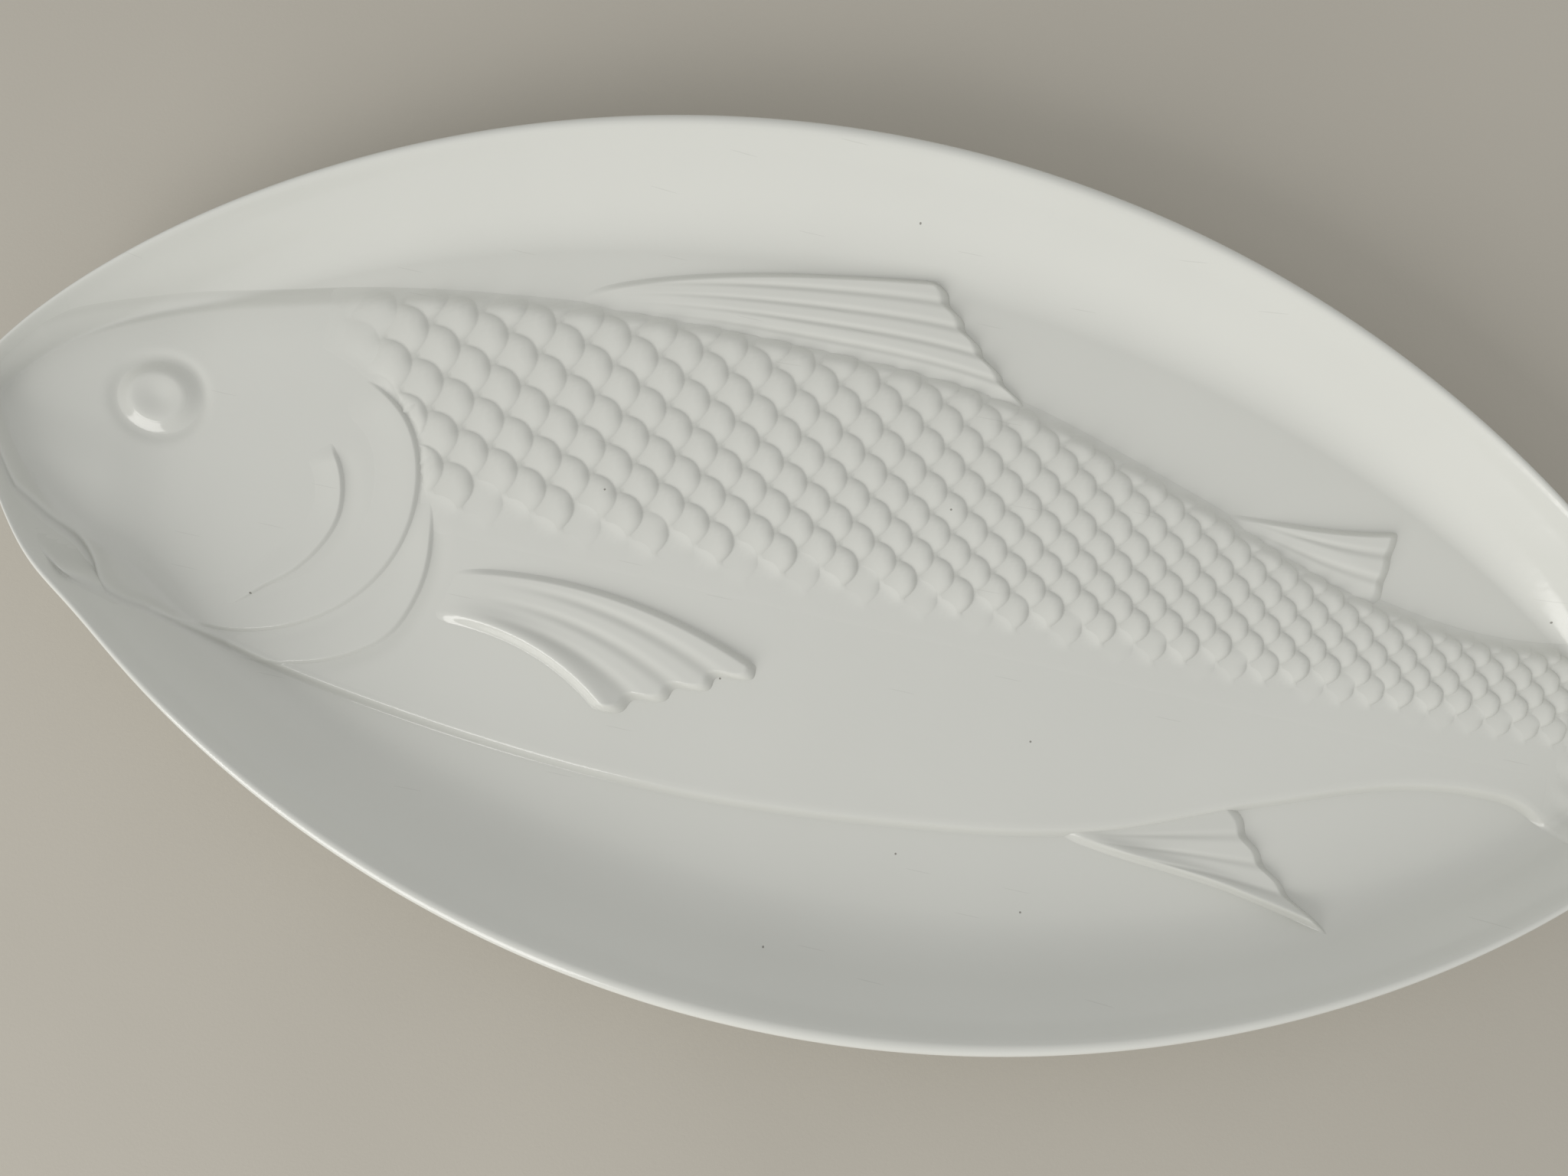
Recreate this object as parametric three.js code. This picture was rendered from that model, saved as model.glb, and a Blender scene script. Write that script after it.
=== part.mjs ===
// Serving platter: an almond-shaped dish on a foot ring, with a whole fish in relief along its floor.
// Millimetres. +X runs from nose to tail, +Y towards the fish's back, +Z up from the table under the foot.
import * as THREE from 'three';

// Dish
const platterLength = 560;
const platterWidth = 284;
const platterHeight = 38;
const outlineFullness = 0.74; // 0.5 draws an ellipse, 1 a pointed lens
const floorClay = 8;
const wallRun = 40; // from the rim in to the flat floor, across the middle
const noseRun = 13; // the same at the tip round the nose
const tailRun = 18; // the same at the tip round the tail
const wallBend = 15; // width of the curve between floor and wall
const rimRoll = 6; // width of the rolled lip

// Foot ring
const footHeight = 5;
const footWidth = 9;
const footInset = 64; // from the rim in to the middle of the ring, across the middle
const footEndInset = 92; // the same at the two tips
const footRound = 1.5;

// Fit of the relief pieces
const seatGap = 0.4; // between a relief piece and what carries it
const jointGap = 0.4; // between relief pieces side by side
const rimMargin = 7; // bare rim left round the relief

// Fish
const backDepth = 75.6;
const bellyDepth = 80.5;
const crown = 3; // height of the flank above the floor
const edgeStep = 1.6; // height of the fish at its outline
const backRound = 20; // from the back in to the full height
const bellyRound = 6; // from the belly in to the full height
const noseStation = 0.115; // where the head starts to climb towards the nose
const noseSlope = 0.24;
const noseEase = 20; // length over which the climb starts
const flankDrop = 3.3; // from the axis down to the lower border of the scales
const stalkStation = 0.93; // where the tail fin starts, as a share of the length
const tipWidth = 2; // the nose and the tail's end stop this far short of a point

// Head
const gillStation = 0.1577;
const gillDrop = 7.4; // from the axis down to the centre of the gill cover
const gillRadius = 51.3;
const gillBand = 17.4;
const gillFromDegrees = -84; // lower end of the gill cover, up from the horizontal
const gillToDegrees = 40;
const gillLift = 1.4;
const membraneWidth = 15.2;
const membraneFromDegrees = -60;
const membraneToDegrees = -8;
const membraneMiddleDegrees = -38; // where the crescent is widest
const membraneTaper = 1.4; // how fast it narrows from there
const cheekBand = 11.3;
const cheekFromDegrees = -86;
const cheekToDegrees = 28;
const plateRoot = 0.6; // least thickness of a relief plate
const eyeStation = 0.0884;
const eyeY = 10.4;
const eyeRadius = 13.7;
const eyeBand = 4.7;
const eyeHeight = 2;
const eyeShoulder = 0.7; // height of the ring's shoulders, as a share of its crest
const pupilHeight = 1.2;
const jawStation = 0.05;
const jawSwell = 0.09; // share by which the outline swells round the lower jaw
const jawSpan = 16;
const jawLength = 24;
const jawLead = 0.25; // share of the lip in front of the fullest swell
const jawWidth = 6.5;
const jawTip = 0.25; // width of the lip at its ends, as a share
const jawHeight = 1.8;
const lipMargin = 6; // bare rim left below the lip
const mouthGap = 5;
const mouthFade = 8; // from the lip's ends to where the mouth slot has closed

// Scales
const scalePitch = 12.46;
const scaleRowRatio = 0.565;
const scaleAnchorStation = 0.5684;
const scaleAnchorY = 31.3;
const scaleTilt = THREE.MathUtils.degToRad(15.5);
const scaleShrink = 0.001482; // per millimetre towards the tail
const scaleTurn = 0.001355; // radians per millimetre towards the tail
const scaleBluntness = 2.4;
const scaleBed = 1; // depth of the bed that the scales lie in
const scaleRoot = 0.7;
const scaleLift = 1.1;
const scaleMiddle = 0.4; // from the tip back to the middle of a scale, in pitches
const scaleSwell = 0.85; // height of the middle, as a share of the raised edge
const scaleArm = 0.55; // from the axis of a scale out to the bend of its edge, in rows
const scaleMargin = 0.8; // bare strip between the scales and the back, the gills and the stalk
const scaleOverhang = 2; // reach of the scales below the flank line

// Fins
const finValley = 1.2;
const finRidge = 0.9;
const finRoot = 0.8;
const finScallop = 0.03; // share of a ray's length by which ridges outreach valleys
const dorsalHeight = 30.5;
const adiposeHeight = 24.3;
const analHeight = 46;
const pectoralGap = 1.6; // from the gill membrane to the root of the fin
const pectoralLength = 106;
const pectoralDepth = 52.2; // from the gill centre down to the lowest point
const pectoralRibs = 5;
const fanRibs = 6;

// Facets
const bisections = 30;
const wallRings = 9;
const underRings = 4;
const dishSegments = 96;
const eyeSegments = 24;
const bellyRows = 9; // more rows below the flank line, where the dish wall starts
const backRows = 6;
const rowCrowding = 1.5;
const bodyColumns = 30;
const headColumns = 15;
const tailColumns = 6;
const jawColumns = 8;
const jawRows = 4;
const plateColumns = 4;
const gillRows = 13;
const cheekRows = 10;
const membraneRows = 10;
const pectoralColumns = 8;

const { lerp, clamp, smoothstep, degToRad } = THREE.MathUtils;
const halfLength = platterLength / 2;
const halfWidth = platterWidth / 2;
const floorTop = footHeight + floorClay;
const stationX = (share) => (share - 0.5) * platterLength;

// A smooth line through a few points, as y over x.
function lineThrough(points) {
  const line = new THREE.CubicInterpolant(
    points.map((point) => point[0]),
    points.map((point) => point[1]),
    1,
  );
  return (x) => line.evaluate(x)[0];
}

// The wall is a nest of almond outlines. A wall share runs from 0 at the rim to 1 at the edge of the floor.
const wallShareAt = (inset) => inset / wallRun;
const jawX = stationX(jawStation);
const gillX = stationX(gillStation);
const gillY = -gillDrop;

function swellAt(x, y) {
  return y < 0 ? 1 + jawSwell * Math.exp(-(((x - jawX) / jawSpan) ** 2)) : 1;
}

// From the middle to the tip on that side of the outline at a wall share.
const reachAt = (side, share) => halfLength - (side < 0 ? noseRun : tailRun) * share;

// Half the width at a station of the outline at a wall share.
function halfWidthAt(x, share) {
  const bow = Math.max(1 - (x / reachAt(x, share)) ** 2, 0);
  return (halfWidth - wallRun * share) * bow ** outlineFullness;
}

function wallShareOf(x, y) {
  const reach = Math.abs(y) / swellAt(x, y);
  let [low, high] = [0, 1];
  if (halfWidthAt(x, high) > reach) return high;
  for (let i = 0; i < bisections; i += 1) {
    const middle = (low + high) / 2;
    if (halfWidthAt(x, middle) > reach) low = middle;
    else high = middle;
  }
  return low;
}

// The wall curves up from the floor and then runs straight to the rim.
function wallHeight(share) {
  const climb = (run) => (run < wallBend ? run ** 2 / (2 * wallBend) : run - wallBend / 2);
  const reached = climb(wallRun * (1 - share)) / climb(wallRun - rimRoll / 2);
  return floorTop + (platterHeight - floorTop) * Math.min(reached, 1);
}

const dishTop = (x, y) => wallHeight(wallShareOf(x, y));

function dishPlan(share, angle) {
  const rise = Math.sin(angle);
  const along = Math.cos(angle);
  const x = reachAt(along, share) * along;
  const y = (halfWidth - wallRun * share) * Math.sign(rise) * Math.abs(rise) ** (2 * outlineFullness);
  return [x, y * swellAt(x, y)];
}

const reliefHalfWidth = (x) => halfWidthAt(x, wallShareAt(rimMargin));

// Moves every vertex of a geometry.
function reshape(geometry, move) {
  const position = geometry.attributes.position;
  const vertex = new THREE.Vector3();
  for (let i = 0; i < position.count; i += 1) {
    vertex.fromBufferAttribute(position, i);
    move(vertex);
    position.setXYZ(i, vertex.x, vertex.y, vertex.z);
  }
  geometry.computeVertexNormals();
  return geometry;
}

// A profile of [radius, height] points turned about Z.
function turned(profile, segments) {
  const points = profile.map(([radius, height]) => new THREE.Vector2(radius, height));
  return new THREE.LatheGeometry(points, segments).rotateX(Math.PI / 2);
}

// The dish is turned with its floor inside radius 1 and its wall out to radius 2, and then drawn out in plan.
function dish() {
  const radiusAt = (inset) => 2 - wallShareAt(inset);
  const profile = [[0, footHeight]];
  for (let i = 0; i <= underRings; i += 1) {
    const inset = lerp(wallRun, rimRoll, i / underRings);
    profile.push([radiusAt(inset), wallHeight(wallShareAt(inset)) - floorClay]);
  }
  const lip = rimRoll / 2;
  for (const turn of [-45, 0, 45]) {
    const angle = degToRad(turn);
    const inset = lip * (1 - Math.cos(angle));
    profile.push([radiusAt(inset), platterHeight - lip + lip * Math.sin(angle)]);
  }
  for (let i = wallRings; i >= 0; i -= 1) {
    const inset = lerp(wallRun, lip, i / wallRings);
    profile.push([radiusAt(inset), wallHeight(wallShareAt(inset))]);
  }
  profile.push([0, floorTop]);
  return reshape(turned(profile, dishSegments), (vertex) => {
    const radius = Math.hypot(vertex.x, vertex.y);
    const [x, y] = dishPlan(Math.min(2 - radius, 1), Math.atan2(vertex.y, vertex.x));
    const spread = Math.min(radius, 1);
    vertex.x = x * spread;
    vertex.y = y * spread;
  });
}

function footRing() {
  const half = footWidth / 2;
  const ringRadius = halfWidth - footInset;
  const profile = [
    [-half, footHeight],
    [-half, footRound],
    [-half + footRound, 0],
    [half - footRound, 0],
    [half, footRound],
    [half, footHeight],
    [-half, footHeight],
  ].map(([offset, height]) => [ringRadius + offset, height]);
  const ringPlan = (angle) => [
    (halfLength - footEndInset) * Math.cos(angle),
    ringRadius * Math.sign(Math.sin(angle)) * Math.abs(Math.sin(angle)) ** (2 * outlineFullness),
  ];
  const step = 0.001;
  return reshape(turned(profile, dishSegments), (vertex) => {
    const angle = Math.atan2(vertex.y, vertex.x);
    const offset = Math.hypot(vertex.x, vertex.y) - ringRadius;
    const [x, y] = ringPlan(angle);
    const [x0, y0] = ringPlan(angle - step);
    const [x1, y1] = ringPlan(angle + step);
    const run = Math.hypot(x1 - x0, y1 - y0);
    vertex.x = x + (offset * (y1 - y0)) / run;
    vertex.y = y - (offset * (x1 - x0)) / run;
  });
}

// The fish in plan: stations along the length, and depths as shares of the fullest depth.
const outlineOf = (points) => lineThrough(points.map(([station, share]) => [stationX(station), share]));
const backShare = outlineOf([
  [0, 0.12],
  [0.0429, 0.373],
  [0.08, 0.54],
  [0.158, 0.751],
  [0.298, 0.942],
  [0.45, 1],
  [0.58, 0.95],
  [0.6885, 0.7235],
  [0.8138, 0.423],
  [0.8866, 0.365],
  [0.93, 0.4],
  [1, 0.6],
]);
const bellyShare = outlineOf([
  [0, 0.16],
  [0.0337, 0.288],
  [0.0528, 0.373],
  [0.078, 0.495],
  [0.0911, 0.65],
  [0.12, 0.729],
  [0.163, 0.806],
  [0.263, 0.923],
  [0.4545, 1],
  [0.5484, 0.948],
  [0.6839, 0.781],
  [0.7714, 0.538],
  [0.8599, 0.333],
  [0.8912, 0.307],
  [0.9207, 0.328],
  [0.9411, 0.42],
  [1, 0.65],
]);
const backEdge = (x) => Math.min(backDepth * backShare(x), reliefHalfWidth(x));

// The lower lip lies along the rim, and the head leaves room for it and for the mouth slot.
const jawStart = jawX - jawLength * jawLead;
const jawEnd = jawStart + jawLength;
const lipEdge = (x) => halfWidthAt(x, wallShareAt(lipMargin)) * swellAt(x, -1);

function lipWidth(x) {
  const share = clamp((x - jawStart) / jawLength, 0, 1);
  return jawWidth * lerp(jawTip, 1, Math.sin(Math.PI * share));
}

function bellyEdge(x) {
  const opening = smoothstep(x, jawStart - mouthFade, jawStart);
  const closing = 1 - smoothstep(x, jawEnd, jawEnd + mouthFade);
  const aboveMouth = lipEdge(x) - (lipWidth(x) + mouthGap) * opening * closing;
  return -Math.min(bellyDepth * bellyShare(x), reliefHalfWidth(x), aboveMouth);
}

// The border between flank and scales, which runs into the middle of the head.
function middleLine(x) {
  const middle = (backEdge(x) + bellyEdge(x)) / 2;
  return lerp(middle, -flankDrop, smoothstep(x, jawX, gillX));
}

function fishPlan(x, share) {
  const middle = middleLine(x);
  if (share < 0.5) return [x, lerp(bellyEdge(x), middle, share * 2)];
  return [x, lerp(middle, backEdge(x), share * 2 - 1)];
}

function noseClimb(x) {
  const run = Math.max(stationX(noseStation) - x, 0);
  return noseSlope * (run < noseEase ? run ** 2 / (2 * noseEase) : run - noseEase / 2);
}

// Height of the fish above its bed: a level flank and a head that climbs to the nose,
// rounded down to a low step at the outline, which runs out into the wall of the dish.
function fishRise(x, y) {
  const backIn = clamp((backEdge(x) - y) / backRound, 0, 1);
  const bellyIn = clamp((y - bellyEdge(x)) / bellyRound, 0, 1);
  const round = (1 - (1 - backIn) ** 2) * (1 - (1 - bellyIn) ** 2);
  const wallClimb = dishTop(x, y) - floorTop;
  return edgeStep + Math.max((crown - edgeStep + noseClimb(x)) * round - wallClimb, 0);
}

const fishBed = (x, y) => dishTop(x, y) + seatGap;
const fishTop = (x, y) => fishBed(x, y) + fishRise(x, y);

// A relief piece pressed on to its bed: a plate over a grid, whose underside follows the bed.
function sprig(columns, rows, plan, bed, thickness) {
  return reshape(new THREE.BoxGeometry(1, 1, 1, columns, rows, 1), (vertex) => {
    const a = vertex.x + 0.5;
    const b = vertex.y + 0.5;
    const upper = vertex.z > 0;
    const [x, y] = plan(a, b);
    vertex.set(x, y, bed(x, y) + (upper ? thickness(a, b, x, y) : 0));
  });
}

// The joint between head and body follows the gill cover round, under the plate.
const shoulderReach = lineThrough([
  [0, 0.2],
  [0.2, 0.59],
  [0.46, 0.885],
  [0.75, 0.45],
  [1, 0.09],
]);
const shoulderX = (share) => gillX + gillRadius * shoulderReach(share);
const stalkX = stationX(stalkStation);
const fishRows = bellyRows + backRows;

// Rows lie closer together towards the belly and the back.
function rowShare(b) {
  const row = b * fishRows;
  if (row < bellyRows) return (row / bellyRows) ** rowCrowding / 2;
  return 1 - (1 - (row - bellyRows) / backRows) ** rowCrowding / 2;
}

function scaleBedDepth(x, y) {
  const middle = middleLine(x);
  const share = (y - middle) / (backEdge(x) - middle);
  const firstRow = 1 - (1 - 1 / backRows) ** rowCrowding;
  return Math.min(scaleBed, edgeStep / 2) * clamp(share / firstRow, 0, 1);
}

const bodyTop = (x, y) => fishTop(x, y) - scaleBedDepth(x, y);

function fishBody() {
  const plan = (a, b) => {
    const share = rowShare(b);
    return fishPlan(lerp(shoulderX(share), stalkX, a), share);
  };
  const thickness = (a, b, x, y) => bodyTop(x, y) - fishBed(x, y);
  return sprig(bodyColumns, fishRows, plan, fishBed, thickness);
}

const noseX = tipWidth - reachAt(-1, wallShareAt(rimMargin));
const tailX = reachAt(1, wallShareAt(rimMargin)) - tipWidth;

function head() {
  const plan = (a, b) => {
    const share = rowShare(b);
    return fishPlan(lerp(noseX, shoulderX(share) - jointGap, a), share);
  };
  return sprig(headColumns, fishRows, plan, fishBed, (a, b, x, y) => fishRise(x, y));
}

function tailFin() {
  const plan = (a, b) => fishPlan(lerp(stalkX + jointGap, tailX, a), b);
  const thickness = (a, b, x, y) => fishRise(x, y) + finRidge * ridge(fanRibs, b) * Math.sin(Math.PI * a);
  return sprig(tailColumns, 2 * fanRibs, plan, fishBed, thickness);
}

function lowerJaw() {
  const plan = (a, b) => {
    const x = lerp(jawStart, jawEnd, a);
    return [x, lipWidth(x) * b - lipEdge(x)];
  };
  return sprig(jawColumns, jawRows, plan, fishBed, (a, b) => plateRoot + jawHeight * Math.sin(Math.PI * b));
}

// Gill plates are bands round the gill centre, thickest at their outer edge.
const cheekShare = lineThrough([
  [degToRad(-91), 0.84],
  [degToRad(-76), 0.72],
  [degToRad(-40), 0.6],
  [degToRad(4), 0.52],
  [degToRad(30), 0.48],
]);
const cheekRadius = (angle) => gillRadius * cheekShare(angle);

function gillPlate(innerRadius, outerRadius, fromDegrees, toDegrees, rows, lift) {
  const plan = (a, b) => {
    const angle = degToRad(lerp(fromDegrees, toDegrees, b));
    const radius = lerp(innerRadius(angle), outerRadius(angle), a);
    return [gillX + radius * Math.cos(angle), gillY + radius * Math.sin(angle)];
  };
  const bed = (x, y) => fishTop(x, y) + seatGap;
  return sprig(plateColumns, rows, plan, bed, (a) => plateRoot + lift * a);
}

function cheekPlate() {
  const inner = (angle) => cheekRadius(angle) - cheekBand;
  return gillPlate(inner, cheekRadius, cheekFromDegrees, cheekToDegrees, cheekRows, gillLift);
}

function gillCover() {
  const inner = (angle) => Math.max(gillRadius - gillBand, cheekRadius(angle) + jointGap);
  return gillPlate(inner, () => gillRadius, gillFromDegrees, gillToDegrees, gillRows, gillLift);
}

function gillMembrane() {
  const inner = () => gillRadius + jointGap;
  const middle = degToRad(membraneMiddleDegrees);
  const outer = (angle) => inner() + membraneWidth * Math.cos(membraneTaper * (angle - middle));
  return gillPlate(inner, outer, membraneFromDegrees, membraneToDegrees, membraneRows, gillLift / 2);
}

// The eye: a ring and a low dome in it, turned and then laid on the head.
const eyeX = stationX(eyeStation);

function eyePiece(profile) {
  return reshape(turned(profile, eyeSegments), (vertex) => {
    vertex.x += eyeX;
    vertex.y += eyeY;
    vertex.z += fishTop(vertex.x, vertex.y) + seatGap;
  });
}

function eyeRing() {
  const inner = eyeRadius - eyeBand;
  const middle = eyeRadius - eyeBand / 2;
  const shoulder = eyeHeight * eyeShoulder;
  return eyePiece([
    [inner, 0],
    [middle, 0],
    [eyeRadius, 0],
    [eyeRadius - eyeBand / 6, shoulder],
    [middle, eyeHeight],
    [inner + eyeBand / 6, shoulder],
    [inner, 0],
  ]);
}

function eyeDome() {
  const radius = eyeRadius - eyeBand - jointGap;
  const rings = [0, 0.35, 0.7, 1];
  const top = rings.map((share) => [radius * share, plateRoot + pupilHeight * (1 - share * share)]);
  const under = rings.map((share) => [radius * share, 0]);
  return eyePiece([...under, ...top.reverse()]);
}

// A fin is spread between two lines from its front to its trailing edge, with ribs along its rays.
function ridge(ribs, share) {
  return (1 - Math.cos(2 * Math.PI * ribs * share)) / 2;
}

function fin(ribs, columns, lowLine, highLine, bed) {
  const plan = (a, b) => {
    const reach = a * (1 - finScallop * (1 - ridge(ribs, b)));
    const [lowX, lowY] = lowLine(reach);
    const [highX, highY] = highLine(reach);
    return [lerp(lowX, highX, b), lerp(lowY, highY, b)];
  };
  const thickness = (a, b) => lerp(finRoot, finValley + finRidge * ridge(ribs, b), Math.sqrt(a));
  return sprig(columns, 2 * ribs, plan, bed, thickness);
}

// A fin that stands off the back edge (side 1) or the belly edge (side -1) of the fish.
function edgeFin({ side, ribs, columns, start, baseEnd, tipEnd, height, bow }) {
  const edge = (x) => (side > 0 ? backEdge(x) : bellyEdge(x)) + side * jointGap;
  const base = (a) => {
    const x = stationX(lerp(start, baseEnd, a));
    return [x, edge(x)];
  };
  const outer = (a) => {
    const x = stationX(lerp(start, tipEnd, a));
    return [x, edge(x) + side * (finRoot + height * a ** bow)];
  };
  return side > 0
    ? fin(ribs, columns, base, outer, fishBed)
    : fin(ribs, columns, outer, base, fishBed);
}

function dorsalFin() {
  return edgeFin({
    side: 1,
    ribs: 5,
    columns: 10,
    start: 0.307,
    baseEnd: 0.585,
    tipEnd: 0.5243,
    height: dorsalHeight,
    bow: 0.6,
  });
}

function adiposeFin() {
  return edgeFin({
    side: 1,
    ribs: 3,
    columns: 6,
    start: 0.7153,
    baseEnd: 0.8194,
    tipEnd: 0.824,
    height: adiposeHeight,
    bow: 1,
  });
}

function analFin() {
  return edgeFin({
    side: -1,
    ribs: 4,
    columns: 8,
    start: 0.6868,
    baseEnd: 0.7729,
    tipEnd: 0.8222,
    height: analHeight,
    bow: 1,
  });
}

function pectoralFin() {
  const rootX = gillX + gillRadius + jointGap + membraneWidth + pectoralGap;
  const curve = (points) => {
    const [from, bend, to] = points.map(
      ([along, down]) =>
        new THREE.Vector2(rootX + along * pectoralLength, gillY - down * pectoralDepth),
    );
    const bezier = new THREE.QuadraticBezierCurve(from, bend, to);
    return (a) => bezier.getPoint(a).toArray();
  };
  const lower = curve([
    [-0.035, 0.686],
    [0.33, 0.59],
    [0.605, 1],
  ]);
  const upper = curve([
    [0, 0.305],
    [0.52, 0.08],
    [1, 0.542],
  ]);
  return fin(pectoralRibs, pectoralColumns, lower, upper, (x, y) => fishTop(x, y) + seatGap);
}

// Scales lie on a net of rows that turns and shrinks evenly towards the tail: the logarithm of a plain net.
const scaleAnchorX = stationX(scaleAnchorStation);

function scalePoint(along, across) {
  const u = along * scalePitch;
  const v = across * scalePitch * scaleRowRatio;
  const x = u * Math.cos(scaleTilt) - v * Math.sin(scaleTilt);
  const y = u * Math.sin(scaleTilt) + v * Math.cos(scaleTilt);
  const real = 1 + scaleShrink * x - scaleTurn * y;
  const imaginary = scaleShrink * y + scaleTurn * x;
  const size = Math.log(Math.hypot(real, imaginary));
  const turn = Math.atan2(imaginary, real);
  const rate = scaleShrink ** 2 + scaleTurn ** 2;
  return [
    scaleAnchorX + (size * scaleShrink + turn * scaleTurn) / rate,
    scaleAnchorY + (turn * scaleShrink - size * scaleTurn) / rate,
  ];
}

// Points of one scale, in net units from its tip: horns, arms and the tip of the scale in front.
const armAlong = -(scaleArm ** scaleBluntness) / 2;
const keyOf = (along, across) => `${along.toFixed(3)},${across.toFixed(3)}`;

function scaleCell(along, across) {
  const at = (du, dv) => ({ along: along + du, across: across + dv });
  return {
    along,
    across,
    outline: [
      at(-0.5, 1),
      at(armAlong, scaleArm),
      at(0, 0),
      at(armAlong, -scaleArm),
      at(-0.5, -1),
      at(armAlong - 0.5, scaleArm - 1),
      at(-1, 0),
      at(armAlong - 0.5, 1 - scaleArm),
    ],
    middle: at(-scaleMiddle, 0),
  };
}

function insideScaleField([x, y]) {
  const aboveGill = y > gillY + gillRadius * Math.sin(degToRad(gillToDegrees)) + scaleMargin;
  const clearOfGill = aboveGill || Math.hypot(x - gillX, y - gillY) > gillRadius + scaleMargin;
  const aboveFlank = y > middleLine(x) - scaleOverhang;
  const belowBack = y < backEdge(x) - scaleMargin;
  const share = 0.5 + (0.5 * (y - middleLine(x))) / (backEdge(x) - middleLine(x));
  const behindShoulder = x > shoulderX(clamp(share, 0, 1)) + scaleMargin;
  return clearOfGill && aboveFlank && belowBack && behindShoulder && x < stalkX - scaleMargin;
}

// Whole scales that fit in the field, less any that hang on by a corner.
function scaleCells() {
  const cells = new Map();
  const reach = Math.ceil(platterLength / scalePitch);
  for (let row = -reach; row <= reach; row += 1) {
    for (let column = -reach; column <= reach; column += 1) {
      const cell = scaleCell(column + (row % 2 === 0 ? 0 : 0.5), row);
      const fits = cell.outline.every((point) => insideScaleField(scalePoint(point.along, point.across)));
      if (fits) cells.set(keyOf(cell.along, cell.across), cell);
    }
  }
  const sideSteps = [
    [-0.5, 1],
    [-0.5, -1],
    [0.5, 1],
    [0.5, -1],
  ];
  const has = (cell, step) => cells.has(keyOf(cell.along + step[0], cell.across + step[1]));
  const hangs = (cell) => {
    const sides = sideSteps.filter((step) => has(cell, step)).length;
    const pinchedBehind = has(cell, [1, 0]) && !has(cell, [0.5, 1]) && !has(cell, [0.5, -1]);
    const pinchedAbove = has(cell, [0, 2]) && !has(cell, [-0.5, 1]) && !has(cell, [0.5, 1]);
    return sides < 2 || pinchedBehind || pinchedAbove;
  };
  let loose = [...cells.values()].filter(hangs);
  while (loose.length > 0) {
    loose.forEach((cell) => cells.delete(keyOf(cell.along, cell.across)));
    loose = [...cells.values()].filter(hangs);
  }
  return [...cells.values()];
}

function scales() {
  const cells = scaleCells();
  const vertices = [];
  const known = new Map();
  const corners = [];
  // One vertex for each point and layer: 0 the underside, 1 the root, 2 the raised edge, 3 the swell.
  const layerHeights = [0, scaleRoot, scaleRoot + scaleLift, scaleRoot + scaleLift * scaleSwell];
  const vertexAt = (point, layer) => {
    const key = `${keyOf(point.along, point.across)},${layer}`;
    if (!known.has(key)) {
      const [x, y] = scalePoint(point.along, point.across);
      known.set(key, vertices.length / 3);
      vertices.push(x, y, bodyTop(x, y) + seatGap + layerHeights[layer]);
    }
    return known.get(key);
  };
  const sideKey = (p, q) => [keyOf(p.along, p.across), keyOf(q.along, q.across)].sort().join(' ');
  const uses = new Map();
  const eachSide = (cell, visit) => {
    cell.outline.forEach((point, i) => visit(point, cell.outline[(i + 1) % cell.outline.length], i));
  };
  for (const cell of cells) {
    eachSide(cell, (p, q) => uses.set(sideKey(p, q), (uses.get(sideKey(p, q)) ?? 0) + 1));
  }
  const topLayer = (i) => (i >= 1 && i <= 3 ? 2 : 1);
  for (const cell of cells) {
    const middle = vertexAt(cell.middle, 3);
    const floor = [];
    eachSide(cell, (p, q, i) => {
      const next = (i + 1) % cell.outline.length;
      corners.push(middle, vertexAt(q, topLayer(next)), vertexAt(p, topLayer(i)));
      if (i < 4) {
        const [pHigh, qHigh] = [vertexAt(p, topLayer(i)), vertexAt(q, topLayer(next))];
        const [pLow, qLow] = [vertexAt(p, 1), vertexAt(q, 1)];
        if (qHigh !== qLow) corners.push(pHigh, qHigh, qLow);
        if (pHigh !== pLow) corners.push(pHigh, qLow, pLow);
      }
      const open = uses.get(sideKey(p, q)) === 1;
      if (open) {
        const [pRoot, qRoot] = [vertexAt(p, 1), vertexAt(q, 1)];
        const [pUnder, qUnder] = [vertexAt(p, 0), vertexAt(q, 0)];
        corners.push(pRoot, qRoot, qUnder, pRoot, qUnder, pUnder);
      }
      const isArm = i % 2 === 1;
      const before = cell.outline[(i + cell.outline.length - 1) % cell.outline.length];
      if (!isArm || open || uses.get(sideKey(before, p)) === 1) floor.push(p);
    });
    const flat = floor.map((point) => new THREE.Vector2(...scalePoint(point.along, point.across)));
    for (const [i, j, k] of THREE.ShapeUtils.triangulateShape(flat, [])) {
      corners.push(...[k, j, i].map((index) => vertexAt(floor[index], 0)));
    }
  }
  const geometry = new THREE.BufferGeometry();
  geometry.setAttribute('position', new THREE.Float32BufferAttribute(vertices, 3));
  geometry.setIndex(corners);
  geometry.computeVertexNormals();
  return geometry;
}

const glaze = { color: 0xe6e7e1, roughness: 0.15, metalness: 0 };
const bareClay = { color: 0xe3d8c4, roughness: 0.85, metalness: 0 };

const pieces = {
  platter_dish: [dish, glaze],
  foot_ring: [footRing, bareClay],
  fish_body: [fishBody, glaze],
  head: [head, glaze],
  cheek_plate: [cheekPlate, glaze],
  gill_cover: [gillCover, glaze],
  gill_membrane: [gillMembrane, glaze],
  eye_ring: [eyeRing, glaze],
  eye_dome: [eyeDome, glaze],
  lower_jaw: [lowerJaw, glaze],
  scales: [scales, glaze],
  dorsal_fin: [dorsalFin, glaze],
  adipose_fin: [adiposeFin, glaze],
  pectoral_fin: [pectoralFin, glaze],
  anal_fin: [analFin, glaze],
  tail_fin: [tailFin, glaze],
};

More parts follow.
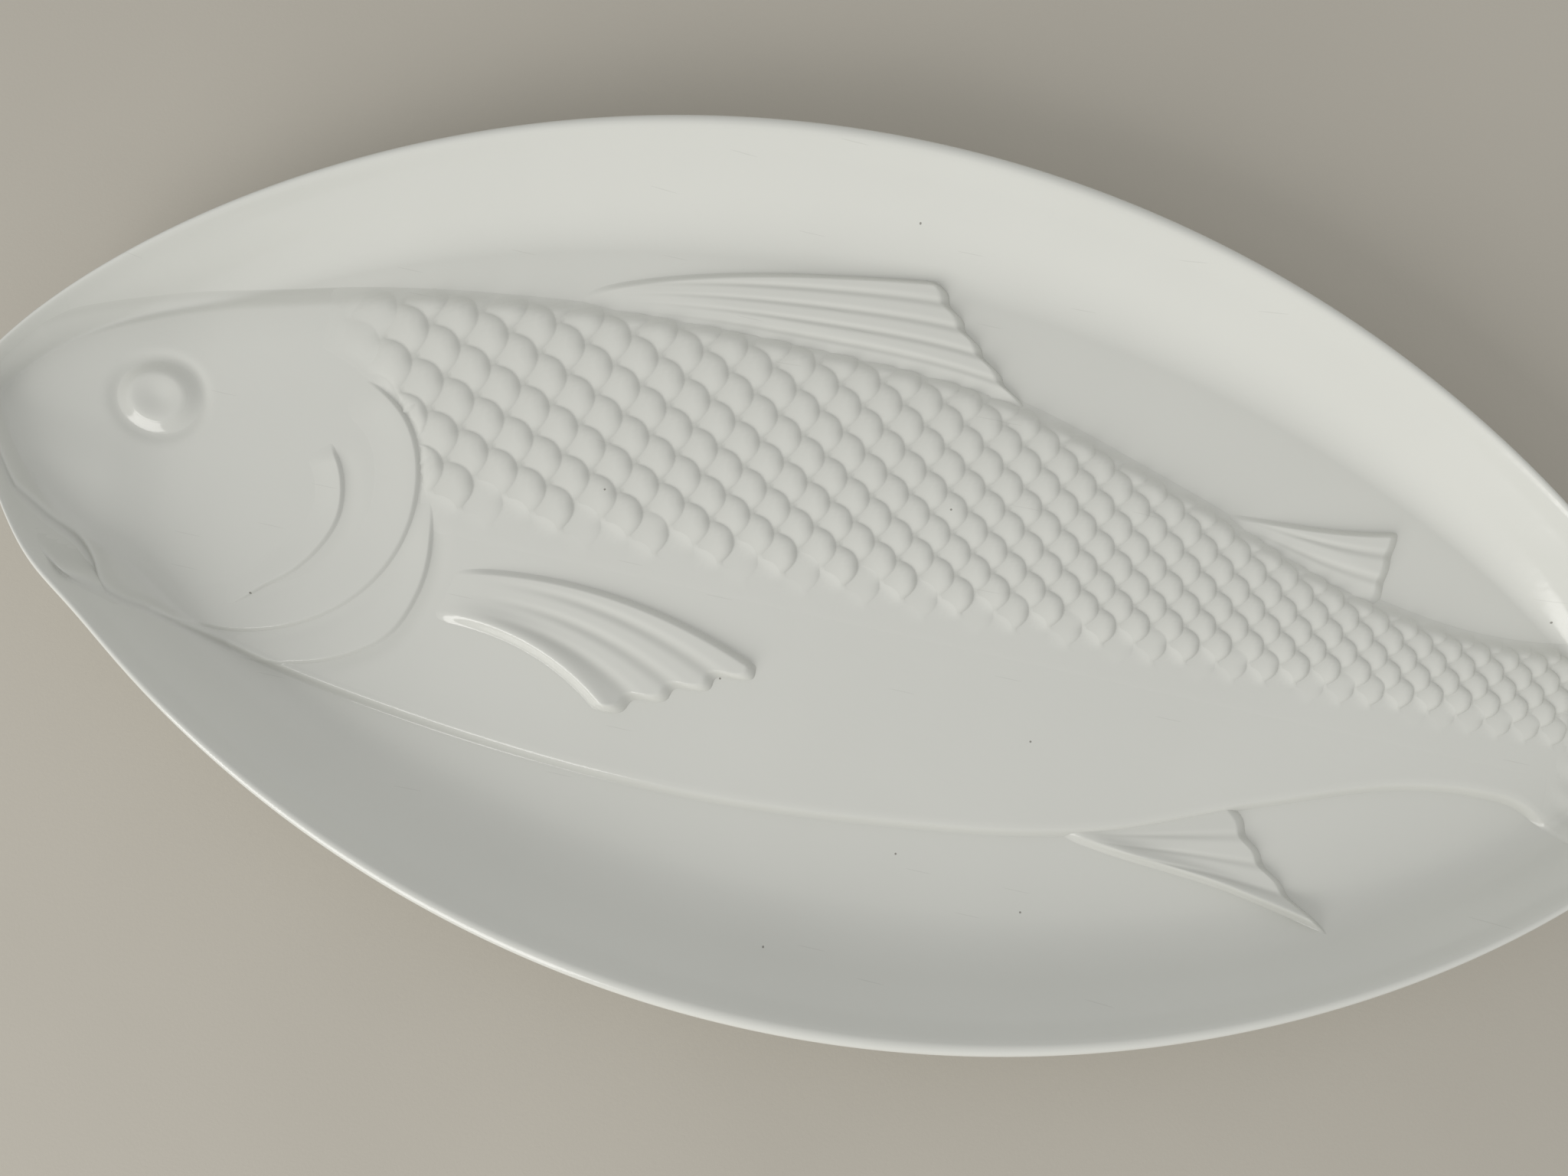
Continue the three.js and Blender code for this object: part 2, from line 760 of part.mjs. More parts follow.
const platter = new THREE.Group();
for (const [name, [build, finish]] of Object.entries(pieces)) {
  const mesh = new THREE.Mesh(build(), new THREE.MeshStandardMaterial(finish));
  mesh.name = name;
  platter.add(mesh);
}

export default platter;
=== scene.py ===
import math

import bmesh
import bpy
import numpy as np
from bpy.props import FloatProperty, FloatVectorProperty, IntProperty, PointerProperty
from mathutils import Matrix, Vector


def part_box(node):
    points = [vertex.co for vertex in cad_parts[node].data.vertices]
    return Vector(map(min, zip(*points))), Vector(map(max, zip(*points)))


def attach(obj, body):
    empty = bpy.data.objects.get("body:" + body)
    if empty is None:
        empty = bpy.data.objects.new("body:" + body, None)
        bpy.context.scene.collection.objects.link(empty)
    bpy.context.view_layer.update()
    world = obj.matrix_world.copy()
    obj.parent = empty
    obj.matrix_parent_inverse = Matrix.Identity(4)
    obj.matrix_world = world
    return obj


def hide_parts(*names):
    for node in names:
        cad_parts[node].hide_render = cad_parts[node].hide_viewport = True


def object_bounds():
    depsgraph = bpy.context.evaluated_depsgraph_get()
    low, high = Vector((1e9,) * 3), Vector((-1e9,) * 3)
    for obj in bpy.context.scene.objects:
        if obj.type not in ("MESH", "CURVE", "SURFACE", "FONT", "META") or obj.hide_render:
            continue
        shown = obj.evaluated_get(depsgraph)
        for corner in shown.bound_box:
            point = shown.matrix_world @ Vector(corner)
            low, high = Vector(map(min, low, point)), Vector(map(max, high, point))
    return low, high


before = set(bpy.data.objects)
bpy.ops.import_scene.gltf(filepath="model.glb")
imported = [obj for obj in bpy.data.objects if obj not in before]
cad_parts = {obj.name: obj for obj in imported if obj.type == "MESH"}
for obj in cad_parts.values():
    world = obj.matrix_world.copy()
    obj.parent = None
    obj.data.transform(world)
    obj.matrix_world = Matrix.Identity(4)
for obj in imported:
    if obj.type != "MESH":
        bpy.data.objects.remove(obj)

bl_info = {
    "name": "Fish platter",
    "version": (1, 0, 0),
    "blender": (4, 5, 0),
    "location": "3D View > Sidebar > Platter",
    "description": "A long white serving dish with a whole fish in low relief",
    "category": "Object",
}

cad_low, cad_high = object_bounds()
foot_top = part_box("foot_ring")[1].z
FULL_TURN = 2.0 * math.pi
BORDER_STEPS = 2.0
WELD = 1e-7


def size(label, note, default):
    """A length that a user may change."""
    return FloatProperty(name=label, description=note, default=default, unit="LENGTH", precision=5)


def share(label, note, default):
    """A plain number that a user may change."""
    return FloatProperty(name=label, description=note, default=default)


def degrees(label, note, default):
    """An angle that a user may change, written here in degrees."""
    return FloatProperty(name=label, description=note, default=math.radians(default), subtype="ANGLE")


def point(label, note, default):
    """A point or a direction that a user may change."""
    return FloatVectorProperty(name=label, description=note, default=default, subtype="XYZ")


def colour(label, note, default):
    """A colour that a user may change."""
    return FloatVectorProperty(
        name=label, description=note, default=default, subtype="COLOR", size=3, min=0, max=1
    )


# Sizes and colours
class DishSizes(bpy.types.PropertyGroup):
    """The dish and the ring that it stands on."""

    length: size("Length", "From tip to tip", cad_high.x - cad_low.x)
    width: size("Width", "Across the middle", cad_high.y - cad_low.y)
    height: size("Height", "From the table to the rim", cad_high.z - cad_low.z)
    fullness: share("Fullness", "0.5 draws an ellipse, 1 a pointed lens", 0.74)
    clay: size("Clay", "Thickness of the floor and the wall", 0.008)
    wall_run: size("Wall run", "From the rim in to the floor, across the middle", 0.040)
    nose_run: size("Nose run", "The same at the tip round the nose", 0.013)
    tail_run: size("Tail run", "The same at the tip round the tail", 0.018)
    wall_bend: size("Wall bend", "Width of the curve between floor and wall", 0.020)
    rim_roll: size("Rim roll", "Width of the rolled rim", 0.006)
    rim_swell: size("Rim swell", "Extra clay where the wall runs into the rim", 0.0009)
    rim_margin: size("Rim margin", "Bare rim left round the relief", 0.007)
    jaw_station: share("Jaw station", "Where the outline swells, as a share of the length", 0.05)
    jaw_swell: share("Jaw swell", "Share by which the outline swells there", 0.09)
    jaw_span: size("Jaw span", "Length of the swell", 0.016)
    foot_width: size("Foot width", "Width of the foot ring", 0.009)
    foot_inset: size("Foot inset", "From the rim in to the ring, across the middle", 0.064)
    foot_end_inset: size("Foot end inset", "The same at the two tips", 0.092)
    foot_round: size("Foot round", "Radius of the ring's worn edges", 0.0015)


class FishSizes(bpy.types.PropertyGroup):
    """The fish's flank and outline."""

    back_depth: size("Back depth", "From the axis up to the back", 0.0756)
    belly_depth: size("Belly depth", "From the axis down to the belly", 0.0805)
    step: size("Step", "Height of the fish at its outline", 0.0018)
    crown: size("Crown", "Height of the flank above the step", 0.0012)
    back_round: size("Back round", "From the back in to the full height", 0.020)
    belly_round: size("Belly round", "From the belly in to the full height", 0.005)
    back_fade: size("Back fade", "Width of the soft step along the back", 0.009)
    wall_step: size("Wall step", "Height of the belly's outline where it lies on the wall", 0.0007)
    wall_climb: size("Wall climb", "Height of the wall at which the step has sunk to that", 0.0030)
    mouth_fade: size("Mouth fade", "Width of the slope into the mouth", 0.0038)
    mouth_blend: size("Mouth blend", "From the mouth back to the low step on the wall", 0.020)
    bead: size("Bead", "Height of the soft bead along the belly's edge, at the head", 0.0021)
    bead_width: size("Bead width", "Width of that bead", 0.0015)
    bead_end: share("Bead end", "Where the bead has run out, as a share of the length", 0.42)
    bead_start: share("Bead start", "Where the bead starts at the nose, as a share of the length", 0.02)
    lip_bead_width: size("Lip bead width", "Width of the bead along the upper lip", 0.0026)
    lip_step: size("Lip step", "What the upper lip adds to the height of the edge", 0.0022)
    lip_blend: size("Lip blend", "From the axis down to where it adds its full height", 0.020)
    belly_fade: size("Belly fade", "Width of the soft step along the belly", 0.0032)
    nose_station: share("Nose station", "Where the climb to the nose starts, as a share of the length", 0.115)
    nose_slope: share("Nose slope", "Slope of that climb", 0.24)
    nose_ease: size("Nose ease", "Length over which the climb starts", 0.020)
    flank_drop: size("Flank drop", "From the axis down to the lower border of the scales", 0.0033)
    stalk_station: share("Stalk station", "Where the tail fin starts, as a share of the length", 0.93)
    tip_width: size("Tip width", "The nose and the tail stop this far short of a point", 0.002)
    overlap: size("Overlap", "How far each piece runs on under the next", 0.002)
    bury: size("Bury", "How deep a piece is set into the clay under it", 0.0012)


class HeadSizes(bpy.types.PropertyGroup):
    """The gills, the eye and the mouth."""

    gill_station: share("Gill station", "Centre of the gill arcs, as a share of the length", 0.1577)
    gill_drop: size("Gill drop", "From the axis down to that centre", 0.0074)
    gill_radius: size("Gill radius", "Edge of the gill cover", 0.0513)
    gill_band: size("Gill band", "Width over which the cover rises", 0.0174)
    cheek_band: size("Cheek band", "Width over which the cheek plate rises", 0.0113)
    membrane_tuck: size("Membrane tuck", "How far the crescent runs in under the cover", 0.004)
    gill_lift: size("Gill lift", "Height of a gill edge", 0.0012)
    gill_fall: size("Gill fall", "Width of the drop at a gill edge", 0.0016)
    gill_groove: size("Gill groove", "Depth of the groove outside a gill edge", 0.0004)
    eye_station: share("Eye station", "Centre of the eye, as a share of the length", 0.0884)
    eye_height: size("Eye place", "From the axis up to the centre of the eye", 0.0104)
    eye_radius: size("Eye radius", "Outer radius of the ring", 0.0137)
    eye_band: size("Eye band", "Width of the ring", 0.0047)
    eye_lift: size("Eye lift", "Height of the eye's crest", 0.0020)
    eye_crest: share("Eye crest", "Radius of the crest, as a share of the eye's radius", 0.5)
    eye_bowl: size("Eye bowl", "Depth of the shallow bowl within the crest", 0.0008)
    eye_moat: size("Eye moat", "Depth of the hollow round the eye", 0.0008)
    eye_moat_width: size("Eye moat width", "From the middle of that hollow to its sides", 0.0022)
    lip_round: size("Lip round", "Rounding of the upper lip", 0.0025)
    mouth_depth: size("Mouth depth", "From the upper lip down into the mouth", 0.0022)
    lip_width: size("Lip width", "Width of the lower lip", 0.0080)
    lip_lift: size("Lip lift", "Height of the lower lip", 0.0042)


class ScaleSizes(bpy.types.PropertyGroup):
    """The net of overlapping scales."""

    pitch: size("Pitch", "From scale to scale along a row, at the anchor", 0.01246)
    row_ratio: share("Row ratio", "From row to row, in pitches", 0.565)
    anchor_station: share("Anchor station", "Where the net is anchored, as a share of the length", 0.5684)
    anchor_height: size("Anchor height", "From the axis up to the anchor", 0.0313)
    tilt: degrees("Tilt", "Turn of the rows at the anchor", 15.5)
    shrink: share("Shrink", "Per metre towards the tail", 1.482)
    turn: share("Turn", "Radians per metre towards the tail", 1.355)
    bluntness: share("Bluntness", "How blunt a scale's edge is", 2.6)
    lift: size("Lift", "Rise of a scale from foot to edge", 0.0028)
    fall: size("Fall", "Width of the drop at a scale's edge", 0.0038)
    fade: size("Fade", "Width over which scales fade out at the border", 0.0022)
    overhang: size("Overhang", "Reach of the scales' bed below the flank line", 0.0090)
    foot: size("Foot", "From the flank line up to the middle of the lowest scales", 0.0042)
    low_fade: size("Low fade", "Width over which the lowest scales run out", 0.0075)
    head_gap: size("Head gap", "From the border of the bed to the first scales", 0.001)
    head_fade: size("Head fade", "Width over which the scales grow out behind the head", 0.024)
    round_side: share("Round side", "How far a scale falls off to its sides, in lifts", 0.32)
    bed: size("Bed", "Depth of the bed that the scales lie in", 0.0008)
    gill_gap: size("Gill gap", "From the edge of the gill cover to the scales", 0.0016)
    margin: size("Margin", "Reach of the scales' piece past its border, under the flank", 0.004)
    ledge: size("Ledge", "From the border of the scales in to their bed", 0.0030)
    sink: size("Sink", "Depth of the scales' piece under the flank past its border", 0.0006)
    open_sink: size("Open sink", "The same below and in front of the scales", 0.0003)
    open_fade: size("Open fade", "Width over which the scales' piece sinks there", 0.0080)
    proud: size("Proud", "Height of the scales' ground over the flank", 0.00003)


class FinSizes(bpy.types.PropertyGroup):
    """The fins."""

    root: size("Root", "Thickness where a fin starts", 0.0005)
    tip: size("Tip", "Thickness at a fin's trailing edge", 0.0028)
    root_share: share("Root share", "Thickness where a fin grows out of the fish, as a share", 0.55)
    root_run: size("Root run", "From there out to the full thickness", 0.012)
    groove: size("Groove", "Depth of the grooves between the ribs", 0.00035)
    edge_fall: size("Edge fall", "Width of the drop along a fin's outer edge", 0.0035)
    trail_fall: size("Trail fall", "Width of the drop along a fin's trailing edge", 0.0038)
    dorsal_height: size("Dorsal height", "Height of the fin on the back", 0.0305)
    adipose_height: size("Adipose height", "Height of the fin in front of the tail", 0.0243)
    anal_height: size("Anal height", "Height of the fin under the belly", 0.046)
    pectoral_gap: size("Pectoral gap", "From the gill edge to the fin on the flank", 0.0155)
    pectoral_length: size("Pectoral length", "Length of the fin on the flank", 0.106)
    pectoral_depth: size("Pectoral depth", "From the gill centre down to its lowest point", 0.0522)
    tail_ribs: IntProperty(name="Tail ribs", description="Ribs of the tail fin", default=6)


class FinishColours(bpy.types.PropertyGroup):
    """The glaze, the bare clay and the floor."""

    glaze: colour("Glaze", "White glaze", (0.70, 0.705, 0.665))
    # Darker glaze colour for hollows and creases: glaze pooling, with painted shade added there
    pooled_and_shaded: colour("Pooled glaze", "Where the glaze lies deep", (0.60, 0.605, 0.565))
    speck: colour("Speck", "Iron specks and pinholes", (0.16, 0.15, 0.13))
    clay: colour("Clay", "Bare clay of the foot", (0.66, 0.57, 0.45))
    clay_dark: colour("Worn clay", "Rubbed clay of the foot", (0.50, 0.42, 0.33))
    floor: colour("Floor", "Plain floor", (0.52, 0.49, 0.43))
    gloss: share("Gloss roughness", "Roughness of the glaze", 0.11)


class StageSizes(bpy.types.PropertyGroup):
    """Camera, lamp and floor."""

    lens: share("Lens", "Focal length on a 36 mm sensor, in millimetres", 27.03)
    eye: point("Camera", "Place of the camera", (-0.00925, -0.03314, 0.4019))
    aim: point("Aim", "Point that the camera looks at", (-0.0148, -0.0083, 0.038))
    right: point("Right", "Direction of the picture's right", (0.976, 0.216, 0.0))
    sky: share("Sky", "Strength of the light from all round", 0.58)
    key_power: FloatProperty(
        name="Key power", description="Power of the soft lamp", default=28.5, unit="POWER"
    )
    key_size: size("Key size", "Width of the soft lamp", 1.5)
    key_distance: size("Key distance", "From the platter to the lamp", 2.2)
    key_heading: degrees("Key heading", "Turn of the lamp round the platter", 237)
    key_rise: degrees("Key rise", "Height of the lamp over the horizon", 26)
    floor_size: size("Floor size", "Width of the floor", 6.0)


class PlatterSettings(bpy.types.PropertyGroup):
    """All sizes and colours of the platter."""

    dish: PointerProperty(type=DishSizes)
    fish: PointerProperty(type=FishSizes)
    head: PointerProperty(type=HeadSizes)
    scales: PointerProperty(type=ScaleSizes)
    fins: PointerProperty(type=FinSizes)
    finish: PointerProperty(type=FinishColours)
    stage: PointerProperty(type=StageSizes)


# Curves and heights over the plan
def ease(value):
    """A smooth step from 0 to 1."""
    held = np.clip(value, 0.0, 1.0)
    return held * held * (3.0 - 2.0 * held)


def bowed(value, power=2):
    """A curve from 0 to 1 that is steep at first and level at its end."""
    return 1.0 - (1.0 - np.clip(value, 0.0, 1.0)) ** power


def bell(value):
    """1 at 0, falling away smoothly on both sides."""
    return np.exp(-(value ** 2))


def slope_from_level(run, bend):
    """Height of a slope of 1 that starts level and bends up over a length."""
    return np.where(run < bend, run * run / (2.0 * bend), run - bend / 2.0)


def mix(low, high, part):
    """The value a part of the way from low to high."""
    return low + (high - low) * part


def line_through(points):
    """A smooth line through a few points, as a function."""
    along, across = np.array(points, dtype=float).T
    slopes = np.gradient(across, along)

    def line(where):
        i = np.clip(np.searchsorted(along, where) - 1, 0, len(along) - 2)
        step = along[i + 1] - along[i]
        t = np.clip((where - along[i]) / step, 0.0, 1.0)
        start = (1.0 + 2.0 * t) * (1.0 - t) ** 2 * across[i] + t * (1.0 - t) ** 2 * step * slopes[i]
        end = t * t * (3.0 - 2.0 * t) * across[i + 1] + t * t * (t - 1.0) * step * slopes[i + 1]
        return start + end

    return line


class Form:
    """The shape of the platter's upper face over its plan."""

    BISECTIONS = 24
    # Degrees over which a gill edge fades out at its lower and its upper end
    GILL_TAIL = 30.0
    GILL_HEAD = 18.0
    # The groove outside a gill edge: its width, in widths of the drop, and its middle, in its own widths
    GROOVE_WIDTH = 2.0
    GROOVE_PLACE = 0.8
    # How much longer than high the eye is, as a share
    EYE_OVAL = 0.06
    # Shares of the soft steps that lie outside the back and the belly
    BACK_LEAD = 0.25
    BELLY_LEAD = 0.2
    # Height over which the level flank runs out into the rising wall
    LEVEL_BLEND = 0.0004
    # Middle of the bead along the belly's edge, in its own widths
    BEAD_PLACE = 0.6
    # How deep the fish is set into the clay outside its outline
    SET_IN = 0.00015
    # Distances from the back, and from the gill cover above the nape, count less as borders of the scales
    BACK_SHARE = 0.5
    NAPE_SHARE = 0.3
    NAPE_ANGLE = 40.0
    NAPE_SPREAD = 15.0
    # The scales run this far on to the tail
    STALK_LAP = 0.004
    # The line behind the head from which scales grow: behind the gill centre, and leaning back below its top
    HEAD_LINE_GAP = 0.008
    HEAD_LINE_SLOPE = 0.10
    HEAD_LINE_TOP = 0.062
    # Lines of the fish: share of the length, and share of the depth of the back or the belly
    BACK = [
        (0, 0.12), (0.0429, 0.405), (0.08, 0.57), (0.158, 0.758), (0.298, 0.942), (0.45, 1), (0.58, 0.95),
        (0.6885, 0.7235), (0.8138, 0.423), (0.8866, 0.365), (0.93, 0.4), (1, 0.6),
    ]
    BELLY = [
        (0, 0.18), (0.0337, 0.35), (0.0528, 0.45), (0.0724, 0.53), (0.083, 0.595), (0.0911, 0.655),
        (0.12, 0.729), (0.163, 0.806), (0.263, 0.923), (0.4545, 1), (0.5484, 0.948), (0.6839, 0.781),
        (0.7714, 0.538), (0.8599, 0.333), (0.8912, 0.307), (0.9207, 0.328), (0.9411, 0.42), (1, 0.65),
    ]
    LIP = [(0.046, 0.525), (0.0555, 0.575), (0.0715, 0.622), (0.0869, 0.646), (0.1055, 0.69)]
    # Border of head and body: part of the way from belly to back, and gill radii behind the gill centre
    SHOULDER = [(0, 0.2), (0.2, 0.59), (0.46, 0.885), (0.75, 0.45), (1, 0.09)]
    # Edges of the gill plates: degrees round the gill centre, and gill radii from it
    CHEEK = [
        (-112, 1.0), (-91, 0.86), (-76, 0.72), (-57, 0.645), (-40, 0.6), (-16, 0.56), (4, 0.52), (30, 0.48),
    ]
    COVER = [(-125, 1.15), (-100, 1.03), (-84, 1.0), (0, 1.0), (35, 0.98), (58, 0.89)]
    MEMBRANE = [(-95, 1.15), (-69, 1.215), (-50, 1.29), (-38, 1.32), (-25, 1.27), (-4, 1.14), (6, 1.08)]

    def __init__(self, settings):
        self.dish = settings.dish
        self.fish = settings.fish
        self.head = settings.head
        self.scales = settings.scales
        self.fins = settings.fins
        self.finish = settings.finish
        self.half_length = self.dish.length / 2
        self.half_width = self.dish.width / 2
        self.floor_top = foot_top + self.dish.clay
        self.back_share = line_through(self.BACK)
        self.belly_share = line_through(self.BELLY)
        self.lip_share = line_through(self.LIP)
        self.shoulder_share = line_through(self.SHOULDER)
        self.cheek_share = line_through(self.CHEEK)
        self.cover_share = line_through(self.COVER)
        self.membrane_share = line_through(self.MEMBRANE)
        self.jaw_x = self.at_station(self.dish.jaw_station)
        self.gill_x = self.at_station(self.head.gill_station)
        self.gill_y = -self.head.gill_drop
        self.eye_x = self.at_station(self.head.eye_station)
        self.eye_y = self.head.eye_height
        self.stalk_x = self.at_station(self.fish.stalk_station)
        margin = self.wall_share_at(self.dish.rim_margin)
        self.nose_x = self.fish.tip_width - float(self.reach_at(-1.0, margin))
        self.tail_x = float(self.reach_at(1.0, margin)) - self.fish.tip_width
        # The mouth ends at the last point but one of the lower lip.
        self.mouth_station = self.LIP[-2][0]
        self.mouth_x = self.at_station(self.mouth_station)

    def at_station(self, station):
        """The place along the length of a share of it."""
        return (station - 0.5) * self.dish.length

    def station_of(self, x):
        """The share of the length at a place along it."""
        return x / self.dish.length + 0.5

    # The wall is a nest of almond outlines: 0 at the rim, 1 at the edge of the floor.
    def wall_share_at(self, inset):
        """The share of the wall's run at a distance in from the rim."""
        return inset / self.dish.wall_run

    def swell_at(self, x, y):
        """How much wider the outline is round the jaw."""
        swell = 1.0 + self.dish.jaw_swell * bell((x - self.jaw_x) / self.dish.jaw_span)
        return np.where(y < 0.0, swell, 1.0)

    def reach_at(self, side, wall):
        """From the middle to the tip on that side."""
        return self.half_length - np.where(side < 0.0, self.dish.nose_run, self.dish.tail_run) * wall

    def half_width_at(self, x, wall):
        """Half the width of one outline of the nest."""
        bow = np.maximum(1.0 - (x / self.reach_at(x, wall)) ** 2, 0.0)
        return (self.half_width - self.dish.wall_run * wall) * bow ** self.dish.fullness

    def wall_share_of(self, x, y):
        """The outline of the nest on which a place lies."""
        reach = np.abs(y) / self.swell_at(x, y)
        low = np.zeros_like(reach)
        high = np.ones_like(reach)
        for _ in range(self.BISECTIONS):
            middle = (low + high) / 2
            inside = self.half_width_at(x, middle) > reach
            low = np.where(inside, middle, low)
            high = np.where(inside, high, middle)
        return np.where(self.half_width_at(x, np.ones_like(x)) > reach, 1.0, low)

    def wall_height(self, wall):
        """Height of the upper face on one outline of the nest."""
        bend = self.dish.wall_bend
        climb = slope_from_level(self.dish.wall_run * (1.0 - wall), bend)
        full = slope_from_level(np.array(self.dish.wall_run - self.dish.rim_roll / 2), bend)
        return self.floor_top + (self.dish.height - self.floor_top) * np.minimum(climb / full, 1.0)

    def dish_top(self, x, y):
        """Height of the bare dish."""
        return self.wall_height(self.wall_share_of(x, y))

    def dish_plan(self, wall, angle):
        """The place on one outline of the nest at an angle round it."""
        rise = np.sin(angle)
        along = np.cos(angle)
        bow = np.abs(rise) ** (2 * self.dish.fullness)
        x = self.reach_at(along, wall) * along
        y = (self.half_width - self.dish.wall_run * wall) * np.sign(rise) * bow
        return x, y * self.swell_at(x, y)

    # The fish's outline, its level flank and the soft step round it.
    def relief_half_width(self, x):
        """Half the width that the rim leaves for the relief."""
        return self.half_width_at(x, np.full_like(x, self.wall_share_at(self.dish.rim_margin)))

    def back_edge(self, x):
        """The outline of the fish along its back."""
        back = self.fish.back_depth * self.back_share(self.station_of(x))
        return np.minimum(back, self.relief_half_width(x))

    def belly_edge(self, x):
        """The outline of the fish along its belly."""
        belly = self.fish.belly_depth * self.belly_share(self.station_of(x))
        return -np.minimum(belly, self.relief_half_width(x))

    def outside_fish(self, x, y):
        """How far a place lies outside the back or the belly."""
        return np.maximum(y - self.back_edge(x), self.belly_edge(x) - y)

    def lip_line(self, x):
        """The crest of the lower lip."""
        return -self.fish.belly_depth * self.lip_share(self.station_of(x))

    def middle_line(self, x):
        """The line along the flank at which the scales end."""
        middle = (self.back_edge(x) + self.belly_edge(x)) / 2
        return mix(middle, -self.fish.flank_drop, ease((x - self.jaw_x) / (self.gill_x - self.jaw_x)))

    def shoulder_x(self, part):
        """Where the head ends, a part of the way from belly to back."""
        return self.gill_x + self.head.gill_radius * self.shoulder_share(part)

    def polar(self, x, y):
        """Distance from the gill centre, and angle in degrees up from the horizontal."""
        along = x - self.gill_x
        up = y - self.gill_y
        return np.hypot(along, up), np.degrees(np.arctan2(up, along))

    def gill_window(self, angle, lowest, highest):
        """1 along a gill edge, fading out at its two ends."""
        return ease((angle - lowest) / self.GILL_TAIL) * ease((highest - angle) / self.GILL_HEAD)

    def gill_groove(self, x, y):
        """Depth of the soft grooves outside the gill edges."""
        radius, angle = self.polar(x, y)
        depth = np.zeros_like(x)
        # Each edge with its lowest and highest angle and the weight of its groove
        arcs = (
            (self.cheek_share, -95.0, 32.0, 0.7),
            (self.cover_share, -104.0, 56.0, 1.0),
            (self.membrane_share, -78.0, 4.0, 1.0),
        )
        for edge, lowest, highest, weight in arcs:
            out = (radius - self.head.gill_radius * edge(angle)) / (self.GROOVE_WIDTH * self.head.gill_fall)
            groove = bell(out - self.GROOVE_PLACE) * weight
            depth += groove * self.gill_window(angle, lowest, highest)
        return depth * self.head.gill_groove

    def eye_hollow(self, x, y):
        """Depth of the hollow that the eye lies in."""
        radius = np.hypot(x - self.eye_x, (y - self.eye_y) * (1.0 + self.EYE_OVAL))
        return self.head.eye_moat * bell((radius - self.head.eye_radius) / self.head.eye_moat_width)

    def nose_climb(self, x):
        """Height that the head gains towards the nose."""
        run = np.maximum(self.at_station(self.fish.nose_station) - x, 0.0)
        return self.fish.nose_slope * slope_from_level(run, self.fish.nose_ease)

    def fish_top(self, x, y):
        """Height of the fish without scales, fins and gill plates."""
        fish = self.fish
        ground = self.dish_top(x, y)
        back_in = self.back_edge(x) - y
        belly_in = y - self.belly_edge(x)
        past_mouth = (x - self.mouth_x) / fish.mouth_blend
        behind_mouth = ease(past_mouth + 0.5)
        soft_back = ease(back_in / fish.back_fade + self.BACK_LEAD)
        belly_fade = mix(fish.mouth_fade, fish.belly_fade, behind_mouth)
        soft_belly = ease(belly_in / belly_fade + self.BELLY_LEAD)
        inside = soft_back * soft_belly
        round_off = bowed(back_in / fish.back_round) * bowed(belly_in / fish.belly_round)
        climb = self.nose_climb(x) * bowed(belly_in / self.head.lip_round)
        level = fish.crown * round_off + climb - (ground - self.floor_top)
        level = (level + np.sqrt(level * level + self.LEVEL_BLEND * self.LEVEL_BLEND)) / 2
        on_wall = ease((ground - self.floor_top) / fish.wall_climb) * (y < 0.0) * ease(past_mouth)
        step = mix(fish.step, fish.wall_step, on_wall)
        step = step + fish.lip_step * (1.0 - behind_mouth) * ease(-y / fish.lip_blend)
        rise = (step + level) * inside - self.SET_IN * (1.0 - inside)
        station = self.station_of(x)
        along = (station - self.mouth_station) / (fish.bead_end - self.mouth_station)
        bead = fish.bead * ease(1.0 - along) * ease((station - fish.bead_start) / fish.bead_start)
        bead_width = mix(fish.lip_bead_width, fish.bead_width, behind_mouth)
        rise = rise + bead * bell(belly_in / bead_width - self.BEAD_PLACE)
        return ground + rise - self.gill_groove(x, y) - self.eye_hollow(x, y)

    # Scales lie on a net that turns and shrinks evenly towards the tail: the logarithm of a plain net.
    def scale_point(self, along, across):
        """The place of a point of the net."""
        net = self.scales
        u = along * net.pitch
        v = across * net.pitch * net.row_ratio
        x = u * math.cos(net.tilt) - v * math.sin(net.tilt)
        y = u * math.sin(net.tilt) + v * math.cos(net.tilt)
        real = 1.0 + net.shrink * x - net.turn * y
        imaginary = net.shrink * y + net.turn * x
        growth = np.log(np.hypot(real, imaginary))
        turn = np.arctan2(imaginary, real)
        rate = net.shrink ** 2 + net.turn ** 2
        return (
            self.at_station(net.anchor_station) + (growth * net.shrink + turn * net.turn) / rate,
            net.anchor_height + (turn * net.shrink - growth * net.turn) / rate,
        )

    def scale_field(self, x, y):
        """Distances inside the closed borders of the field of scales, and inside the open ones."""
        radius, angle = self.polar(x, y)
        below_back = (self.back_edge(x) - y) * self.BACK_SHARE
        nape = ease((angle - self.NAPE_ANGLE) / self.NAPE_SPREAD)
        behind_gill = radius - self.head.gill_radius * self.cover_share(angle) - self.scales.gill_gap
        behind_gill = behind_gill * mix(1.0, self.NAPE_SHARE, nape)
        before_tail = self.stalk_x + self.STALK_LAP - x
        closed_in = np.minimum.reduce([below_back, behind_gill, before_tail])
        return closed_in, np.minimum(*self.scale_borders(x, y))

    def scale_borders(self, x, y):
        """Distances above the flank line and behind the head, from the borders of the scales' bed."""
        below_top = np.maximum(self.HEAD_LINE_TOP - y, 0.0)
        head_line = self.gill_x + self.HEAD_LINE_GAP + self.HEAD_LINE_SLOPE * below_top
        return y - self.middle_line(x) + self.scales.overhang, x - head_line

    def body_top(self, x, y):
        """The flank with the bed that the scales lie in."""
        inside = np.minimum(*self.scale_field(x, y))
        return self.fish_top(x, y) - self.scales.bed * ease((inside - self.scales.ledge) / self.scales.fade)


# Meshes
def places_of(bm):
    """Places of a mesh's vertices: all x, all y and all z."""
    return np.array([vertex.co[:] for vertex in bm.verts]).T


def grid_points(bm):
    """Places of a unit grid's vertices, from 0 to 1 each way."""
    return places_of(bm)[:2] + 0.5


